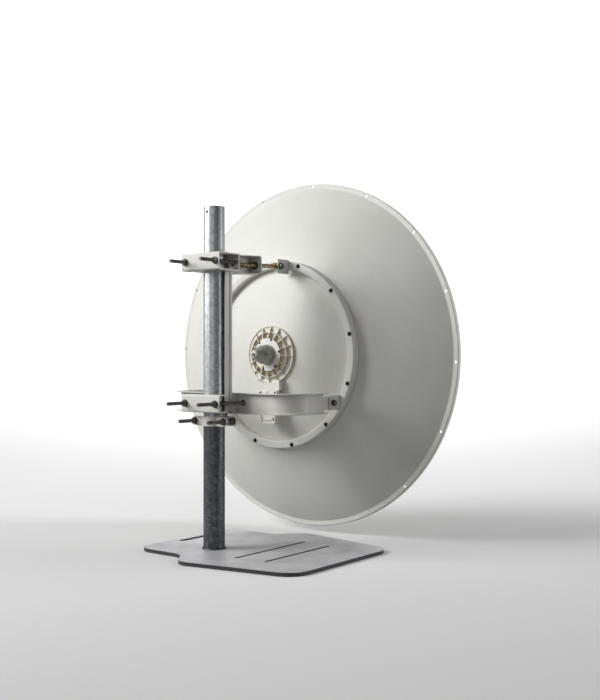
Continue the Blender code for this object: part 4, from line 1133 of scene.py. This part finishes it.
piece("tray_walls", tray_walls, *MOULDED, merge=FINE)
tray_screws = [
    placed(dome(0.0, 0.0010, 0.0032, steps=24), at(LOOKS_BACK, (x, TRAY_BACK, 0.4310)))
    for x in (-0.0275, 0.0275)
]
piece("tray_screws", joined(*tray_screws), *BLACK, merge=FINE)

# %% [markdown]
# Six small screws hold the hub's plate. They are dark domes with a washer.

# %% Hub screws
HUB_SCREW_CIRCLE = 0.0450
low_washer = washer(-0.0006, 0.0, 0.0040, 0.0005, steps=24)
head = joined(low_washer, dome(0.0006, 0.0014, 0.0033, steps=24))
screws = [
    placed(head, at(LOOKS_BACK, around(HUB_SCREW_CIRCLE, PLATE_Y, np.radians(11 + 60 * i))))
    for i in range(6)
]
piece("hub_screws", joined(*screws), *BLACK, merge=FINE)

# %% [markdown]
# The adapter is a casting like a blunt cone with a soft tip and a narrow foot flange. Two
# small threaded connectors leave it, one at the tip and one at the side.

# %% Feed adapter and connectors
def lathed(name, node_name, slot, material, corners, steps):
    """A solid piece of the dish, turned from an open outline with round corners."""
    line = rounded(corners, closed=False, steps=steps)
    piece(name, turned(line, 96), "dish", slot, material, [node_name])


adapter_line = [
    (0, 0.168, 0), (0.0120, 0.168, 0.0090), (0.0195, 0.1850, 0.0300), (0.0275, 0.2080, 0.0400),
    (0.0284, 0.2195, 0.0010), (0.0270, 0.2210, 0.0004), (0.0270, 0.2238, 0.0004),
    (0.0300, 0.2240, 0.0006), (0.0300, 0.2287, 0), (0, 0.2287, 0),
]
lathed("adapter_casting", "feed_adapter", "grey_cast_metal", cast_zinc, adapter_line, 8)


def connector():
    """A small jack along z: a hexagon and a threaded barrel."""
    return joined(
        hex_body(0.0, 0.0022, 0.0072, 0.0, 0.2, turned_low=False, steps=36),
        threaded(0.0020, 0.0060, 0.0028, 0.0009),
    )


lean = math.radians(66.8)
out = np.array([math.sin(lean), -math.cos(lean), 0])
side_axis = np.stack([np.array([0, 0, 1.0]), np.cross(out, [0, 0, 1.0]), out], axis=1)
side_place = at(side_axis, np.array([0.0210, 0.1965, AXIS_Z]) + out * 0.0006)
for name, place in (("end", at(LOOKS_BACK, (0, 0.1677, AXIS_Z))), ("side", side_place)):
    name = "connector_" + name
    piece(name + "_turned", placed(connector(), place), *BRASS, [name], merge=FINE)

# %% [markdown]
# In front of the reflector the feed stands on a round foot: an aluminium tube, a plastic
# cone at its end, and a small splash plate that throws the signal back into the bowl.
# The photograph doesn't show this side, so it follows what such a rear-fed dish has.

# %% Feed
SPLASH_Y = APEX_Y + SHEET + 1 / (4 * BOWL_CURVE) + 0.006
foot = APEX_Y + SHEET + TOUCH
TUBE_END, CONE_START, CONE_END = SPLASH_Y - 0.0523, SPLASH_Y - 0.052, SPLASH_Y - TOUCH
tube_line = [
    (0, foot, 0), (0.045, bowl_y(0.045) + SHEET + 0.0004, 0), (0.045, foot + 0.0054, 0.0008),
    (0.021, foot + 0.0054, 0.0020), (0.021, TUBE_END, 0), (0, TUBE_END, 0),
]
cone_line = [
    (0, CONE_START, 0), (0.024, CONE_START, 0.0010), (0.026, SPLASH_Y - 0.040, 0.0300),
    (0.053, CONE_END, 0), (0, CONE_END, 0),
]
plate_line = [
    (0, SPLASH_Y, 0), (0.055, SPLASH_Y, 0.0008), (0.055, SPLASH_Y + 0.005, 0.0015),
    (0.050, SPLASH_Y + 0.0085, 0.0040), (0, SPLASH_Y + 0.010, 0),
]
lathed("feed_tube_drawn", "feed_tube", "drawn_aluminium", aluminium, tube_line, 5)
lathed("feed_cone_moulded", "feed_cone", "white_feed_plastic", feed_plastic, cone_line, 8)
lathed("splash_plate_turned", "splash_plate", "drawn_aluminium", aluminium, plate_line, 6)

# %% [markdown]
# The stage is a large pale floor that curves up into a wall far behind, so that no
# horizon shows. The camera stands level behind the dish, to the right, as the
# photographer did. Its focal length is 1025 pixels for a picture 700 pixels high.

# %% Floor and camera
floor_line = rounded([(-12, 0, 0), (9, 0, 6.0), (9, 14, 0)], closed=False, steps=24)
span = np.array([[-16.0], [16.0]])
azimuth = math.radians(37.59)
cos_a, sin_a = np.cos(azimuth), np.sin(azimuth)
spin = np.array([[cos_a, -sin_a, 0], [sin_a, cos_a, 0], [0, 0, 1]])
stage_flat, stage_faces = grid(points_of(span, floor_line[:, 0], floor_line[:, 1]))
stage_mesh = bpy.data.meshes.new("studio_floor")
stage_mesh.from_pydata((stage_flat @ spin.T).tolist(), [], stage_faces)
stage_mesh.shade_smooth()
studio_floor = added("studio_floor", stage_mesh)
paper, _, paper_shader, _ = finish_named("studio_paper")
paper_shader.inputs["Base Color"].default_value = linear("E8E8E8")
paper_shader.inputs["Roughness"].default_value = 0.9
stage_mesh.materials.append(paper)
studio_floor.visible_diffuse = False

CAMERA_X, CAMERA_Y, CAMERA_Z = 1.9035, -2.0863, 0.535
FOCAL, SENSOR, PICTURE_HEIGHT = 1025, 36.0, 700
camera_data = bpy.data.cameras.new("camera")
camera_data.sensor_width = SENSOR
camera_data.lens = FOCAL * SENSOR / PICTURE_HEIGHT
camera_data.shift_y = 7 / PICTURE_HEIGHT
camera = added("camera", camera_data)
camera.location = (CAMERA_X, CAMERA_Y, CAMERA_Z)
camera.rotation_euler = (math.pi / 2, 0, azimuth)
bpy.context.scene.camera = camera
print("camera distance from the pole:", round(math.hypot(CAMERA_X, CAMERA_Y), 2), "m")

# %% [markdown]
# The key light is a large one from the upper left, behind the dish. A weak fill stands to
# the right of the camera and a small light to the far right, which brightens the faces
# that look that way. The rim light comes over the dish from its front and draws the edge
# of the flange. It is kept out of reflections, because the pole would show it as a white
# stripe. The last light only whitens the paper behind. The paper throws no light on the
# dish, since in a real studio it stands much further away.

# %% Lights
def soft_light(name, place, target, size, power, spread=180):
    """A square area light at a place, facing a target, its beam narrowed as by a grid."""
    data = bpy.data.lights.new(name, "AREA")
    data.size = size
    data.energy = power
    data.spread = math.radians(spread)
    light = added(name, data)
    light.location = place
    direction = np.array(target) - np.array(place)
    yaw = math.atan2(direction[1], direction[0])
    pitch = math.atan2(direction[2], math.hypot(direction[0], direction[1]))
    light.rotation_euler = (math.pi / 2 + pitch, 0, yaw - math.pi / 2)
    light.visible_camera = False
    return light


middle_of_dish = (0.0, 0.3, 0.70)
wall_light = spin @ np.array([0.0, 3.5, 8.0])
wall_middle = spin @ np.array([0.0, 9.0, 2.0])
soft_light("key", (-2.96, -2.87, 2.74), middle_of_dish, 3.0, 72, 90)
soft_light("fill", (1.4, -3.5, 1.6), middle_of_dish, 2.5, 14)
soft_light("side", (3.48, 2.3, 1.0), (0.1, 0.15, 0.6), 1.6, 9, 90)
rim_light = soft_light("rim", (2.7, 3.7, 2.9), middle_of_dish, 1.8, 22, 90)
rim_light.visible_glossy = False
soft_light("backdrop", wall_light, wall_middle, 7.0, 700, 120)
world = bpy.data.worlds.new("studio")
world.use_nodes = True
background = world.node_tree.nodes["Background"]
background.inputs["Color"].default_value = linear("FFFFFF")
background.inputs["Strength"].default_value = 0.12
bpy.context.scene.world = world
bpy.context.scene.view_settings.view_transform = "Standard"
